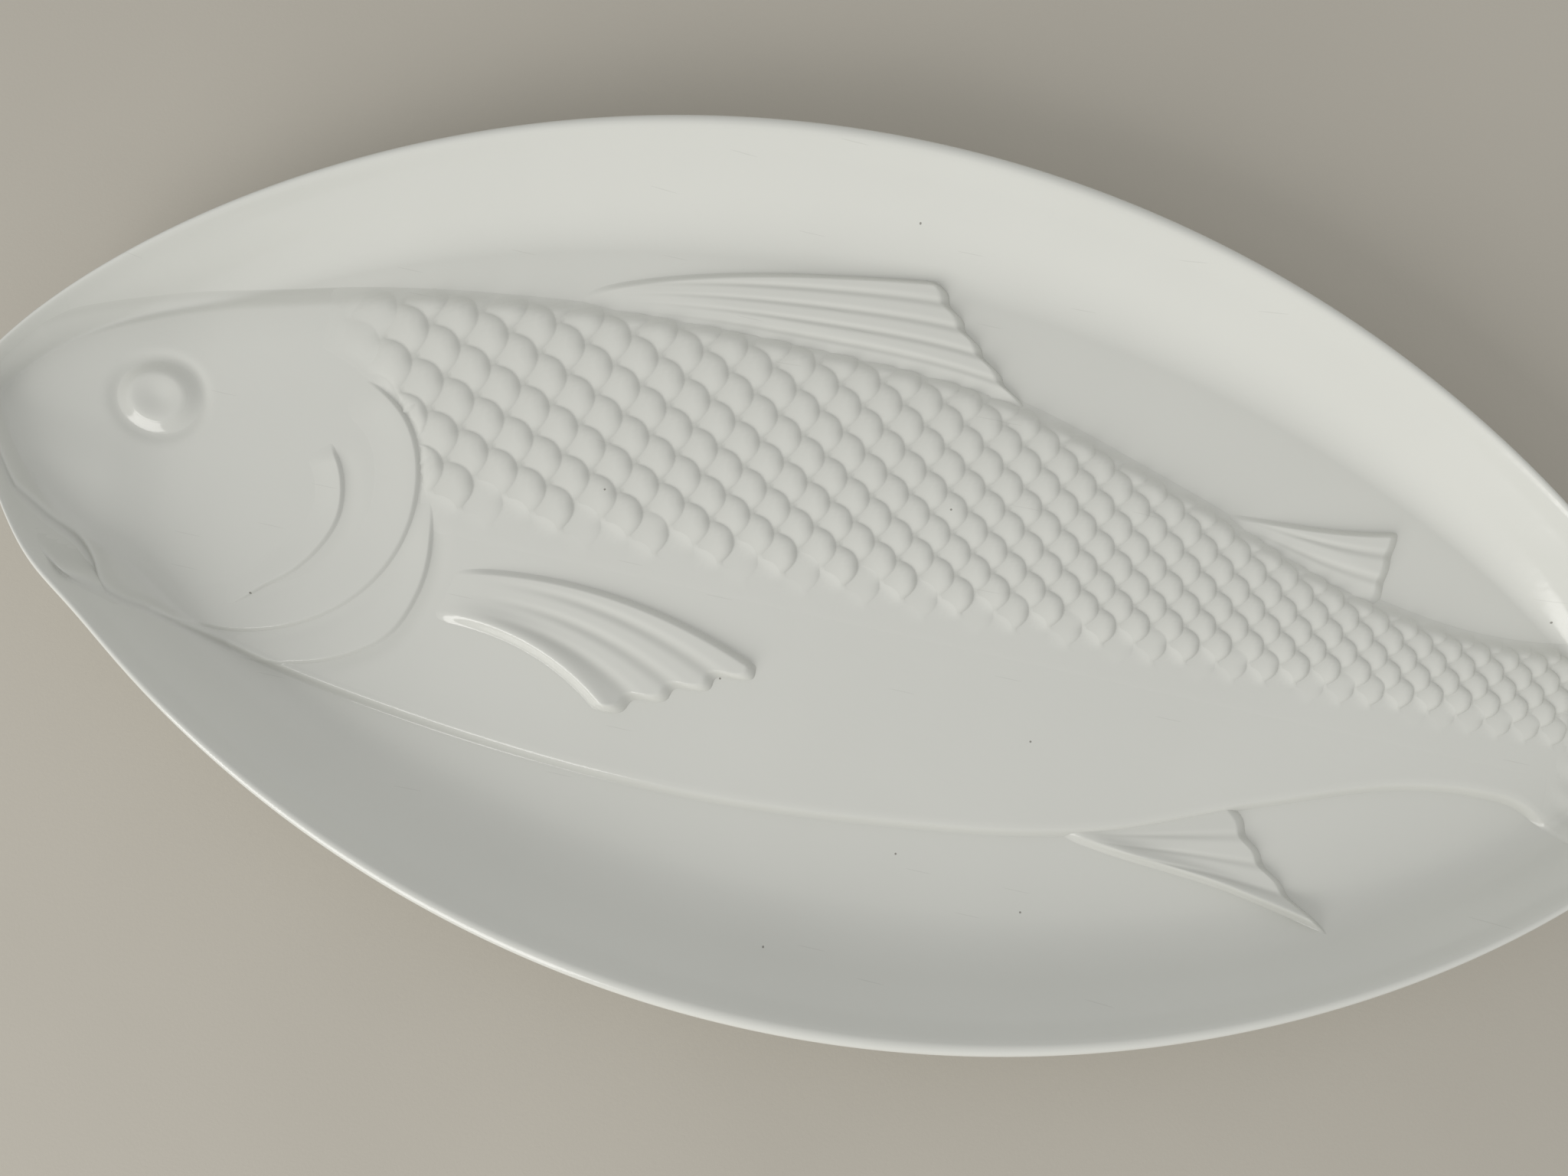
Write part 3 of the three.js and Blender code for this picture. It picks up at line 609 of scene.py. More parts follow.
def near_border(a, b, columns, rows):
    """1 on the border of a grid, and 0 from a few steps inside it."""
    steps = np.minimum(np.minimum(a, 1.0 - a) * columns, np.minimum(b, 1.0 - b) * rows)
    return 1.0 - ease(steps / BORDER_STEPS)


def move_to(bm, x, y, z):
    """Moves each vertex of a mesh to its new place."""
    for vertex, place in zip(bm.verts, zip(x, y, z)):
        vertex.co = place


def finished(bm, name, node, material, pooled_and_shaded=None):
    """Makes a mesh an object that stands for a node of the frame."""
    bmesh.ops.recalc_face_normals(bm, faces=bm.faces[:])
    for face in bm.faces:
        face.smooth = True
    mesh = bpy.data.meshes.new(name)
    bm.to_mesh(mesh)
    bm.free()
    # Each vertex keeps how far the glaze darkens there: glaze pooling and painted shade in hollows and
    # creases
    depth = mesh.attributes.new("glaze_pool_and_shade", "FLOAT", "POINT")
    if pooled_and_shaded is not None:
        depth.data.foreach_set("value", np.asarray(pooled_and_shaded, dtype=np.float32))
    mesh.materials.append(material)
    piece = bpy.data.objects.new(name, mesh)
    bpy.context.scene.collection.objects.link(piece)
    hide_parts(node)
    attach(piece, "root")


def relief(name, node, columns, rows, shape, material, keep=None):
    """A relief piece set in clay: a grid laid over the plan, and an underside buried in what carries it."""
    bm = bmesh.new()
    bmesh.ops.create_grid(bm, x_segments=columns, y_segments=rows, size=0.5)
    if keep is not None:
        a, b = grid_points(bm)
        kept = keep(a, b)
        bm.verts.index_update()
        outside = [face for face in bm.faces if not any(kept[vertex.index] for vertex in face.verts)]
        bmesh.ops.delete(bm, geom=outside, context="FACES")
    made = bmesh.ops.extrude_face_region(bm, geom=bm.faces[:], use_keep_orig=True)
    raised = {item for item in made["geom"] if isinstance(item, bmesh.types.BMVert)}
    a, b = grid_points(bm)
    x, y, top, under, pooled_and_shaded = shape(a, b)
    on_top = [vertex in raised for vertex in bm.verts]
    move_to(bm, x, y, np.where(on_top, top, under))
    finished(bm, name, node, material, pooled_and_shaded)


def turned(profile, steps):
    """A profile of radius and height turned about Z, with its poles and seam closed."""
    bm = bmesh.new()
    chain = [bm.verts.new((radius, 0.0, height)) for radius, height in profile]
    edges = [bm.edges.new(pair) for pair in zip(chain, chain[1:])]
    bmesh.ops.spin(
        bm, geom=chain + edges, cent=(0, 0, 0), axis=(0, 0, 1), angle=FULL_TURN, steps=steps, use_merge=True
    )
    bmesh.ops.remove_doubles(bm, verts=bm.verts[:], dist=WELD)
    return bm


# Materials
class Value:
    """A shader socket that takes part in sums."""

    def __init__(self, surface, socket):
        self.surface = surface
        self.socket = socket

    def math(self, operation, first, second):
        return self.surface.node("ShaderNodeMath", {"operation": operation}, {0: first, 1: second})

    def __add__(self, other):
        return self.math("ADD", self, other)

    def __radd__(self, other):
        return self.math("ADD", other, self)

    def __sub__(self, other):
        return self.math("SUBTRACT", self, other)

    def __rsub__(self, other):
        return self.math("SUBTRACT", other, self)

    def __mul__(self, other):
        return self.math("MULTIPLY", self, other)

    def __lt__(self, other):
        return self.math("LESS_THAN", self, other)


class Surface:
    """A material and the one way in which its nodes are added."""

    def __init__(self, name):
        self.material = bpy.data.materials.new(name)
        self.material.use_nodes = True
        self.tree = self.material.node_tree
        self.tree.nodes.clear()
        self.place = self.node("ShaderNodeTexCoord", outlet="Object")

    def node(self, kind, settings=None, sockets=None, outlet=0):
        """Adds a node, with its settings first and then the values or links of its sockets."""
        made = self.tree.nodes.new(kind)
        for name, setting in (settings or {}).items():
            setattr(made, name, setting)
        for name, given in (sockets or {}).items():
            if isinstance(given, Value):
                self.tree.links.new(given.socket, made.inputs[name])
            else:
                made.inputs[name].default_value = given
        return Value(self, made.outputs[outlet]) if made.outputs else None

    def blend(self, part, low, high):
        """A colour between two."""
        settings = {"data_type": "RGBA", "blend_type": "MIX"}
        return self.node("ShaderNodeMix", settings, {0: part, 6: low, 7: high}, outlet=2)

    def noise(self, scale, detail):
        """A soft mottle of so many patches to the metre."""
        sockets = {"Vector": self.place, "Scale": scale, "Detail": detail}
        return self.node("ShaderNodeTexNoise", {"noise_dimensions": "3D"}, sockets)

    def within(self, value, low, high):
        """0 below low, 1 above high and a smooth step between."""
        sockets = {"Value": value, "From Min": low, "From Max": high}
        return self.node("ShaderNodeMapRange", {"interpolation_type": "SMOOTHSTEP"}, sockets)

    def bump(self, height, strength, distance):
        """A normal bent by a height."""
        sockets = {"Height": height, "Strength": strength, "Distance": distance}
        return self.node("ShaderNodeBump", sockets=sockets)

    def finish(self, sockets):
        """Ends the material in one principled shader."""
        shader = self.node("ShaderNodeBsdfPrincipled", sockets=sockets)
        self.node("ShaderNodeOutputMaterial", sockets={"Surface": shader})
        return self.material


def rgba(written):
    """A colour with nothing of it clear."""
    return (*written, 1.0)


def spots(surface, cells, chosen, radius, stretch, turn):
    """A mask of a few small marks, one in each chosen cell of a flat net."""
    sockets = {"Vector": surface.place, "Rotation": (0, 0, turn), "Scale": stretch}
    flat = surface.node("ShaderNodeMapping", sockets=sockets)
    settings = {"voronoi_dimensions": "2D", "feature": "F1"}
    net = {"Vector": flat, "Scale": cells}
    distance = surface.node("ShaderNodeTexVoronoi", settings, net, outlet="Distance")
    tint = surface.node("ShaderNodeTexVoronoi", settings, net, outlet="Color")
    pick = surface.node("ShaderNodeSeparateColor", sockets={"Color": tint}, outlet="Red")
    return (distance < radius * cells) * (pick < chosen)


def white_glaze(finish):
    """White tin glaze: thicker and darker in the hollows, partly as glaze pooling and partly as painted
    shade, with pinholes, hair scratches and a faint orange peel.
    """
    made = bpy.data.materials.get("platter_glaze")
    if made:
        return made
    surface = Surface("platter_glaze")
    # Darker glaze in hollows and creases, by each vertex's own amount: glaze pooling and painted shade
    depth = surface.node("ShaderNodeAttribute", {"attribute_name": "glaze_pool_and_shade"}, outlet="Fac")
    pool_and_shade_part = 0.85
    cloud_part = 0.12
    cloud = surface.within(surface.noise(scale=14.0, detail=3.0), low=0.35, high=0.7)
    pool_and_shade = surface.within(depth, low=0.0, high=1.0) * pool_and_shade_part + cloud * cloud_part
    body = surface.blend(pool_and_shade, rgba(finish.glaze), rgba(finish.pooled_and_shaded))
    speck_part = 0.75
    scratch_part = 0.10
    specks = spots(surface, cells=26.0, chosen=0.22, radius=0.00035, stretch=(1, 1, 1), turn=0.7)
    scratch = spots(surface, cells=14.0, chosen=0.07, radius=0.0045, stretch=(1, 34, 1), turn=0.9)
    marked = surface.blend(scratch * scratch_part + specks * speck_part, body, rgba(finish.speck))
    rough_spread = 0.06
    rough_scratch = 0.1
    smoothest = finish.gloss - rough_spread / 2
    roughness = surface.noise(scale=60.0, detail=3.0) * rough_spread + smoothest + scratch * rough_scratch
    fine_part = 0.25
    pinhole_depth = 1.5
    ripple = surface.noise(scale=420.0, detail=2.0) * fine_part
    peel = ripple + surface.noise(scale=55.0, detail=2.0) - specks * pinhole_depth
    normal = surface.bump(peel, strength=0.35, distance=0.00025)
    return surface.finish({"Base Color": marked, "Roughness": roughness, "Normal": normal, "IOR": 1.5})


def bare_clay(finish):
    """Unglazed clay of the foot: a fine sandy grain, rubbed darker in patches."""
    surface = Surface("foot_clay")
    patch_part = 0.8
    grain_part = 0.2
    grain = surface.noise(scale=1800.0, detail=3.0)
    patches = surface.within(surface.noise(scale=70.0, detail=3.0), low=0.4, high=0.72)
    worn = patches * patch_part + grain * grain_part
    body = surface.blend(worn, rgba(finish.clay), rgba(finish.clay_dark))
    normal = surface.bump(grain, strength=0.6, distance=0.0002)
    roughest = 0.92
    rubbed = 0.15
    roughness = roughest - patches * rubbed
    return surface.finish({"Base Color": body, "Roughness": roughness, "Normal": normal})


def floor_finish(finish):
    """A plain pale floor with a faint mottle."""
    surface = Surface("floor_finish")
    mottle = surface.within(surface.noise(scale=5.0, detail=4.0), low=0.3, high=0.75)
    mottle_shade = 0.95
    shaded = tuple(part * mottle_shade for part in finish.floor)
    body = surface.blend(mottle, rgba(finish.floor), rgba(shaded))
    grain = surface.noise(scale=900.0, detail=2.0)
    normal = surface.bump(grain, strength=0.2, distance=0.0002)
    smoothest = 0.85
    rough_spread = 0.1
    roughness = smoothest + grain * rough_spread
    return surface.finish({"Base Color": body, "Roughness": roughness, "Normal": normal})


# Pieces
class PlatterOperator(bpy.types.Operator):
    """Shared by the platter's operators."""

    bl_options = {"REGISTER", "UNDO"}


class PLATTER_OT_dish(PlatterOperator):
    """Make the dish: floor, sweeping wall and rolled rim"""

    bl_idname = "platter.dish"
    bl_label = "Dish"
    STEPS = 400
    UNDER_RINGS = 14
    RIM_RINGS = 14
    WALL_RINGS = 56
    WALL_CROWDING = 0.9
    # The turned form has radius 1 at the edge of the floor and 2 at the rim.
    RIM_RADIUS = 2.0
    FLOOR_RING = 0.5
    # The rolled rim, and where the wall meets it below and above, in widths of the roll
    ROLL_START = math.radians(-75)
    ROLL_END = math.radians(120)
    UNDER_START = 0.75
    WALL_START = 0.95
    SWELL_END = 1.7
    SWELL_RUN = 0.9

    def execute(self, context):
        form = Form(context.scene.fish_platter)
        dish = form.dish
        roll = dish.rim_roll
        lip = roll / 2

        def radius_at(inset):
            return self.RIM_RADIUS - form.wall_share_at(inset)

        def wall_at(inset):
            return float(form.wall_height(form.wall_share_at(inset)))

        profile = [(0.0, foot_top)]
        for inset in np.linspace(dish.wall_run, roll * self.UNDER_START, self.UNDER_RINGS):
            profile.append((radius_at(inset), wall_at(inset) - dish.clay))
        for angle in np.linspace(self.ROLL_START, self.ROLL_END, self.RIM_RINGS):
            inset = lip * (1.0 - math.cos(angle))
            profile.append((radius_at(inset), dish.height - lip + lip * math.sin(angle)))
        for part in np.linspace(0.0, 1.0, self.WALL_RINGS):
            inset = mix(roll * self.WALL_START, dish.wall_run, part ** self.WALL_CROWDING)
            swell = dish.rim_swell * float(ease((roll * self.SWELL_END - inset) / (roll * self.SWELL_RUN)))
            profile.append((radius_at(inset), wall_at(inset) + swell))
        profile.append((self.FLOOR_RING, form.floor_top))
        profile.append((0.0, form.floor_top))
        bm = turned(profile, self.STEPS)
        turned_x, turned_y, height = places_of(bm)
        radius = np.hypot(turned_x, turned_y)
        angle = np.arctan2(turned_y, turned_x)
        x, y = form.dish_plan(np.minimum(self.RIM_RADIUS - radius, 1.0), angle)
        spread = np.minimum(radius, 1.0)
        move_to(bm, x * spread, y * spread, height)
        finished(bm, "dish", "platter_dish", white_glaze(form.finish))
        return {"FINISHED"}


class PLATTER_OT_foot(PlatterOperator):
    """Make the ring of bare clay that the dish stands on"""

    bl_idname = "platter.foot"
    bl_label = "Foot ring"
    STEPS = 320
    CORNER = 6
    SLOPE_TURN = 0.001

    def execute(self, context):
        form = Form(context.scene.fish_platter)
        dish = form.dish
        half = dish.foot_width / 2
        ring = form.half_width - dish.foot_inset
        worn = dish.foot_round
        turns = np.linspace(0.0, math.pi / 2, self.CORNER)
        left = [(-half + worn * (1.0 - math.cos(t)), worn * (1.0 - math.sin(t))) for t in turns]
        right = [(-offset, height) for offset, height in reversed(left)]
        profile = [(-half, foot_top), *left, *right, (half, foot_top), (-half, foot_top)]
        bm = turned([(ring + offset, height) for offset, height in profile], self.STEPS)

        def plan(angle):
            rise = np.sin(angle)
            reach = ring * np.sign(rise) * np.abs(rise) ** (2 * dish.fullness)
            return (form.half_length - dish.foot_end_inset) * np.cos(angle), reach

        turned_x, turned_y, height = places_of(bm)
        offset = np.hypot(turned_x, turned_y) - ring
        angle = np.arctan2(turned_y, turned_x)
        x, y = plan(angle)
        x_before, y_before = plan(angle - self.SLOPE_TURN)
        x_after, y_after = plan(angle + self.SLOPE_TURN)
        run = np.hypot(x_after - x_before, y_after - y_before)
        x = x + offset * (y_after - y_before) / run
        y = y - offset * (x_after - x_before) / run
        move_to(bm, x, y, height)
        finished(bm, "foot", "foot_ring", bare_clay(form.finish))
        return {"FINISHED"}


class PLATTER_OT_fish(PlatterOperator):
    """Make the fish's flank, head and tail"""

    bl_idname = "platter.fish"
    bl_label = "Fish"
    ROWS = 120
    BODY_COLUMNS = 330
    HEAD_COLUMNS = 200
    TAIL_COLUMNS = 110
    CROWDING = 0.085
    LEAST_WIDTH = 1e-4
    LEAST_THICKNESS = 0.0004
    # The apron round the outline, its level share and how far its border is let down
    OUTSIDE = 0.0035
    LEVEL_SHARE = 0.4
    EDGE_DROP = 0.0005
    # Slope of a piece where it runs on under the next one
    DIP = 0.07
    # How dark the glaze is painted in the gill grooves, the eye's moat and the crease round the outline, and
    # the crease's width: glaze pooling and painted shade
    HOLLOW_POOL_AND_SHADE = 0.4
    CREASE_POOL_AND_SHADE = 0.5
    CREASE_WIDTH = 0.0016
    # Ribs of the tail: their height, and how fast they rise at its root and run out at its tip
    RIB_HEIGHT = 0.0008
    RIB_START = 3.0
    RIB_END = 4.0

    def across(self, form, x, b):
        """Places across the fish, closer together towards its two edges."""
        low = form.belly_edge(x) - self.OUTSIDE
        high = form.back_edge(x) + self.OUTSIDE
        return mix(low, high, b - self.CROWDING * np.sin(FULL_TURN * b))

    def part_across(self, form, x, y):
        """The part of the way from the belly to the back, with the middle line at a half."""
        back = form.back_edge(x)
        belly = form.belly_edge(x)
        middle = form.middle_line(x)
        upper = 0.5 + 0.5 * (y - middle) / np.maximum(back - middle, self.LEAST_WIDTH)
        lower = 0.5 * (y - belly) / np.maximum(middle - belly, self.LEAST_WIDTH)
        return np.clip(np.where(y > middle, upper, lower), 0.0, 1.0)

    def sunk(self, outside, past):
        """How far a place is let down: at the outline, and where the piece runs on under the next one."""
        level = self.LEVEL_SHARE * self.OUTSIDE
        edge = self.EDGE_DROP * ease((outside - level) / ((1.0 - self.LEVEL_SHARE) * self.OUTSIDE))
        return edge + self.DIP * np.maximum(past, 0.0)

    def piece(self, form, glaze, name, node, columns, ends, past, top):
        """A part of the fish between two ends that may differ from belly to back."""

        def shape(a, b):
            x = mix(*ends(b), a)
            y = self.across(form, x, b)
            outside = form.outside_fish(x, y)
            height = top(x, y) - self.sunk(outside, past(x, b))
            under = form.dish_top(x, y) - form.fish.bury
            grooves = form.gill_groove(x, y) / form.head.gill_groove
            # Darkening of the glaze in these hollows and along the outline: glaze pooling and painted shade
            hollow = (grooves + form.eye_hollow(x, y) / form.head.eye_moat) * self.HOLLOW_POOL_AND_SHADE
            crease = bell(outside / self.CREASE_WIDTH) * self.CREASE_POOL_AND_SHADE
            under = np.minimum(under, height - self.LEAST_THICKNESS)
            return x, y, height, under, np.clip(hollow + crease, 0.0, 1.0)

        relief(name, node, columns, self.ROWS, shape, glaze)

    def execute(self, context):
        form = Form(context.scene.fish_platter)
        glaze = white_glaze(form.finish)
        overlap = form.fish.overlap

        def body_ends(b):
            return form.shoulder_x(b) - overlap, form.stalk_x + overlap

        def head_ends(b):
            return form.nose_x, form.shoulder_x(b) + overlap

        def tail_ends(b):
            return form.stalk_x - overlap, form.tail_x

        def past_head(x, b):
            return x - form.shoulder_x(b)

        def past_body(x, b):
            return np.maximum(-past_head(x, b), x - form.stalk_x)

        def past_tail(x, b):
            return form.stalk_x - x

        def tail_top(x, y):
            along = (x - form.stalk_x) / (form.tail_x - form.stalk_x)
            part = self.part_across(form, x, y)
            ribs = 0.5 - 0.5 * np.cos(FULL_TURN * form.fins.tail_ribs * part)
            ends = ease(along * self.RIB_START) * ease((1.0 - along) * self.RIB_END)
            return form.fish_top(x, y) + self.RIB_HEIGHT * ribs * ends

        self.piece(form, glaze, "body", "fish_body", self.BODY_COLUMNS, body_ends, past_body, form.body_top)
        self.piece(form, glaze, "head_form", "head", self.HEAD_COLUMNS, head_ends, past_head, form.body_top)
        self.piece(form, glaze, "tail", "tail_fin", self.TAIL_COLUMNS, tail_ends, past_tail, tail_top)
        return {"FINISHED"}


class PLATTER_OT_gills(PlatterOperator):
    """Make the cheek plate, the gill cover and the crescent behind it"""

    bl_idname = "platter.gills"
    bl_label = "Gills"
    ROWS = 150
    COLUMNS = 36
    CROWDING = 0.6
    # Part of a smooth step that a plate rises over, so that it still climbs at its edge
    RISE = 0.62
    # Share of the drop at the edge that lies inside it
    EDGE_LEAD = 0.3
    # How deep a plate is set in, how much deeper at its border, and how dark its edge is painted, with glaze
    # pooling and painted shade
    SINK = 0.00006
    BORDER_DROP = 0.0001
    POOL_AND_SHADE = 0.6

    def plate(self, form, glaze, name, node, edge, inner, tuck, lowest, highest):
        """A plate round the gill centre that rises from its inner edge and drops at its outer one."""
        fall = form.head.gill_fall
        lift = form.head.gill_lift

        def shape(a, b):
            angle = mix(lowest, highest, b)
            outer = form.head.gill_radius * edge(angle)
            band = outer - (form.head.gill_radius * inner(angle) - tuck)
            out = mix(-band, fall, a ** self.CROWDING)
            radius = outer + out
            x = form.gill_x + radius * np.cos(np.radians(angle))
            y = form.gill_y + radius * np.sin(np.radians(angle))
            rise = ease((out + band) / band * self.RISE) / ease(np.array(self.RISE))
            rise = rise * (1.0 - ease((out + fall * self.EDGE_LEAD) / fall))
            fade = form.gill_window(angle, lowest, highest)
            ground = form.fish_top(x, y)
            border = self.BORDER_DROP * near_border(a, b, self.COLUMNS, self.ROWS)
            height = ground + lift * rise * fade - self.SINK - border
            # The drop outside a plate's edge is painted darker: glaze pooling and painted shade
            return x, y, height, ground - form.fish.bury, np.clip(out / fall, 0.0, 1.0) * self.POOL_AND_SHADE

        relief(name, node, self.COLUMNS, self.ROWS, shape, glaze)

    def execute(self, context):
        form = Form(context.scene.fish_platter)
        glaze = white_glaze(form.finish)
        head = form.head
        self.plate(
            form, glaze, "cheek", "cheek_plate", form.cheek_share,
            inner=form.cheek_share, tuck=head.cheek_band, lowest=-104.0, highest=40.0,
        )
        self.plate(
            form, glaze, "membrane", "gill_membrane", form.membrane_share,
            inner=form.cover_share, tuck=head.membrane_tuck, lowest=-92.0, highest=6.0,
        )
        self.plate(
            form, glaze, "cover", "gill_cover", form.cover_share,
            inner=form.cover_share, tuck=head.gill_band, lowest=-118.0, highest=58.0,
        )
        return {"FINISHED"}


class PLATTER_OT_eye(PlatterOperator):
    """Make the ring of the eye and the low dome in it"""

    bl_idname = "platter.eye"
    bl_label = "Eye"
    STEPS = 120
    POINTS = 32
    # How far ring and dome lie over each other, and how deep each is tucked under there
    LAP = 0.0009
    TUCK = 0.0005
    SINK = 0.0001

    def lay(self, form, glaze, name, node, profile):
        """Turns a profile and lays it on the slope of the head."""
        bm = turned(profile, self.STEPS)
        turned_x, turned_y, rise = places_of(bm)
        x = form.eye_x + turned_x * (1.0 + form.EYE_OVAL / 2)
        y = form.eye_y + turned_y * (1.0 - form.EYE_OVAL / 2)
        level = form.fish_top(np.full(1, form.eye_x), np.full(1, form.eye_y)) - form.nose_climb(form.eye_x)
        move_to(bm, x, y, level + form.nose_climb(x) + rise)
        finished(bm, name, node, glaze)

    def top(self, head, radius):
        """Height of the eye: a crest with a shallow bowl in it and a broad slope down into the moat."""
        crest = head.eye_crest * head.eye_radius
        slope = float(ease((head.eye_radius - radius) / (head.eye_radius - crest)))
        bowl = 1.0 - float(ease(radius / crest))
        return mix(-head.eye_moat - self.SINK, head.eye_lift, slope) - head.eye_bowl * bowl

    def execute(self, context):
        form = Form(context.scene.fish_platter)
        glaze = white_glaze(form.finish)
        head = form.head
        bury = form.fish.bury
        inner = head.eye_radius - head.eye_band
        ring = [(inner - self.LAP, -bury)]
        for radius in np.linspace(inner - self.LAP, head.eye_radius, self.POINTS):
            tuck = self.TUCK * float(ease((inner - radius) / self.LAP))
            ring.append((radius, self.top(head, radius) - tuck))
        ring.append((head.eye_radius, -bury))
        ring.append(ring[0])
        self.lay(form, glaze, "eye_rim", "eye_ring", ring)
        dome = [(0.0, -bury), (inner + self.LAP, -bury)]
        for radius in np.linspace(inner + self.LAP, 0.0, self.POINTS):
            tuck = self.TUCK * float(ease((radius - inner) / self.LAP))
            dome.append((radius, self.top(head, radius) - tuck))
        self.lay(form, glaze, "eye_ball", "eye_dome", dome)
        return {"FINISHED"}


class PLATTER_OT_jaw(PlatterOperator):
    """Make the lower lip along the rim"""

    bl_idname = "platter.jaw"
    bl_label = "Lower jaw"
    COLUMNS = 120
    ROWS = 40
    # How fast the lip rises at its front end, its back end and its lower side
    FRONT_RATE = 3.0
    BACK_RATE = 2.5
    SIDE_RATE = 4.0
    CREST_SHARE = 0.55
    BORDER_DROP = 0.0002
    # How dark the glaze is painted off the lip's crest, leaving the crest lighter: glaze pooling and painted
    # shade
    POOL_AND_SHADE = 0.4

    def execute(self, context):
        form = Form(context.scene.fish_platter)
        glaze = white_glaze(form.finish)
        fish = form.fish
        head = form.head

        def shape(a, b):
            x = form.at_station(mix(form.LIP[0][0], form.LIP[-1][0], a))
            ridge = form.lip_line(x)
            half = head.lip_width / 2
            low = np.maximum(ridge - half, -form.relief_half_width(x) * form.swell_at(x, ridge))
            y = mix(low, np.maximum(form.belly_edge(x) + fish.overlap, ridge + half), b)
            ends = ease(a * self.FRONT_RATE) * ease((1.0 - a) * self.BACK_RATE)
            crest = bell((y - ridge) / (half * self.CREST_SHARE)) * ends * ease(b * self.SIDE_RATE)
            ground = form.dish_top(x, y)
            mouth = form.floor_top + fish.crown + fish.step + form.nose_climb(x) - head.mouth_depth
            sunk = self.BORDER_DROP * near_border(a, b, self.COLUMNS, self.ROWS)
            fill = ends * ease((form.mouth_x - x) / half + 0.5) * ease((y - ridge) / half + 0.5)
            height = ground + np.maximum(mouth - ground, 0.0) * fill + head.lip_lift * crest - sunk
            # Off the crest the glaze is painted darker: glaze pooling and painted shade
            return x, y, height, ground - fish.bury, (1.0 - crest) * self.POOL_AND_SHADE

        relief("lower_lip", "lower_jaw", self.COLUMNS, self.ROWS, shape, glaze)
        return {"FINISHED"}


class PLATTER_OT_scales(PlatterOperator):
    """Make the net of overlapping scales on the upper flank"""

    bl_idname = "platter.scales"
    bl_label = "Scales"
    # Grid lines across one row, and from one scale's edge to the next
    ACROSS = (0.1, 0.3, 0.5, 0.7, 0.9)
    ALONG = (0.0, 0.1, 0.3, 0.55, 0.78, 0.91, 0.97)
    FIRST_EDGE = -62
    LAST_EDGE = 46
    FIRST_ROW = -22
    LAST_ROW = 22
    # Rows are set half a pitch apart, and the middle of a scale lies this far before its edge.
    STAGGER = 0.5
    MIDDLE = 0.4
    # How dark the valleys between scales are painted: glaze pooling and painted shade
    POOL_AND_SHADE = 0.6

    def execute(self, context):
        form = Form(context.scene.fish_platter)
        glaze = white_glaze(form.finish)
        net = form.scales
        columns = (self.LAST_EDGE - self.FIRST_EDGE) * len(self.ALONG)
        rows = (self.LAST_ROW - self.FIRST_ROW) * len(self.ACROSS)

        def aside_of(i, row, part):
            """How far to the side of a scale's middle a place lies, in rows."""
            return np.where(np.mod(i - row, 2) == 0, part, 1.0 - part)

        def edge_at(i, row, part):
            """Place along the net of a scale's rounded edge."""
            return self.STAGGER * i - self.STAGGER * aside_of(i, row, part) ** net.bluntness

        def laid(a, b):
            """Net place of a grid point, with its edge, row and part of a row."""
            column = np.rint(a * columns).astype(int)
            line = np.rint(b * rows).astype(int)
            i = self.FIRST_EDGE + column // len(self.ALONG)
            row = self.FIRST_ROW + line // len(self.ACROSS)
            part = np.array(self.ACROSS)[np.mod(line, len(self.ACROSS))]
            reach = np.array(self.ALONG)[np.mod(column, len(self.ALONG))]
            along = mix(edge_at(i, row, part), edge_at(i + 1, row, part), reach)
            return along, i, row, part

        def keep(a, b):
            along, _, row, part = laid(a, b)
            closed_in, open_in = form.scale_field(*form.scale_point(along, row + part))
            return (closed_in > -net.margin) & (open_in > -net.open_fade)

        def grown(edge, row):
            """How far one scale has grown out, from the place of its middle."""
            axis = row + np.mod(edge - row, 2)
            middle = form.scale_point(self.STAGGER * edge - self.MIDDLE, axis)
            above_flank, behind_head = form.scale_borders(*middle)
            low = ease((above_flank - net.overhang - net.foot) / net.low_fade + 0.5)
            return low * ease((behind_head - net.head_gap) / net.head_fade)

        def shape(a, b):
            along, i, row, part = laid(a, b)
            x, y = form.scale_point(along, row + part)
            closed_in, open_in = form.scale_field(x, y)
            mask = ease(np.minimum(closed_in, open_in) / net.fade)
            dome = np.zeros_like(x)
            for edge in (i + 3, i + 2, i + 1):
                ahead = edge_at(edge, row, part) - along
                drop = bowed(ahead * net.pitch / net.fall)
                aside = aside_of(edge, row, part)
                tile = 1.0 - (self.STAGGER * edge - along) - net.round_side * aside ** 2
                growth = grown(edge, row)
                own = growth * np.maximum(tile, 0.0)
                climb = ease(ahead * net.pitch / net.low_fade)
                dome = mix(dome, own, np.where(own < dome, climb, drop))
            base = form.fish_top(x, y)
            sink = net.sink * ease(-closed_in / net.fade) + net.open_sink * ease(-open_in / net.open_fade)
            height = base + net.proud + net.lift * dome * mask - sink
            # Valleys between grown scales get darker glaze: glaze pooling and painted shade
            pooled_and_shaded = (1.0 - dome) * growth * mask * self.POOL_AND_SHADE
            return x, y, height, base - net.bed - form.fish.bury, pooled_and_shaded

        relief("scale_net", "scales", columns, rows, shape, glaze, keep)
        return {"FINISHED"}


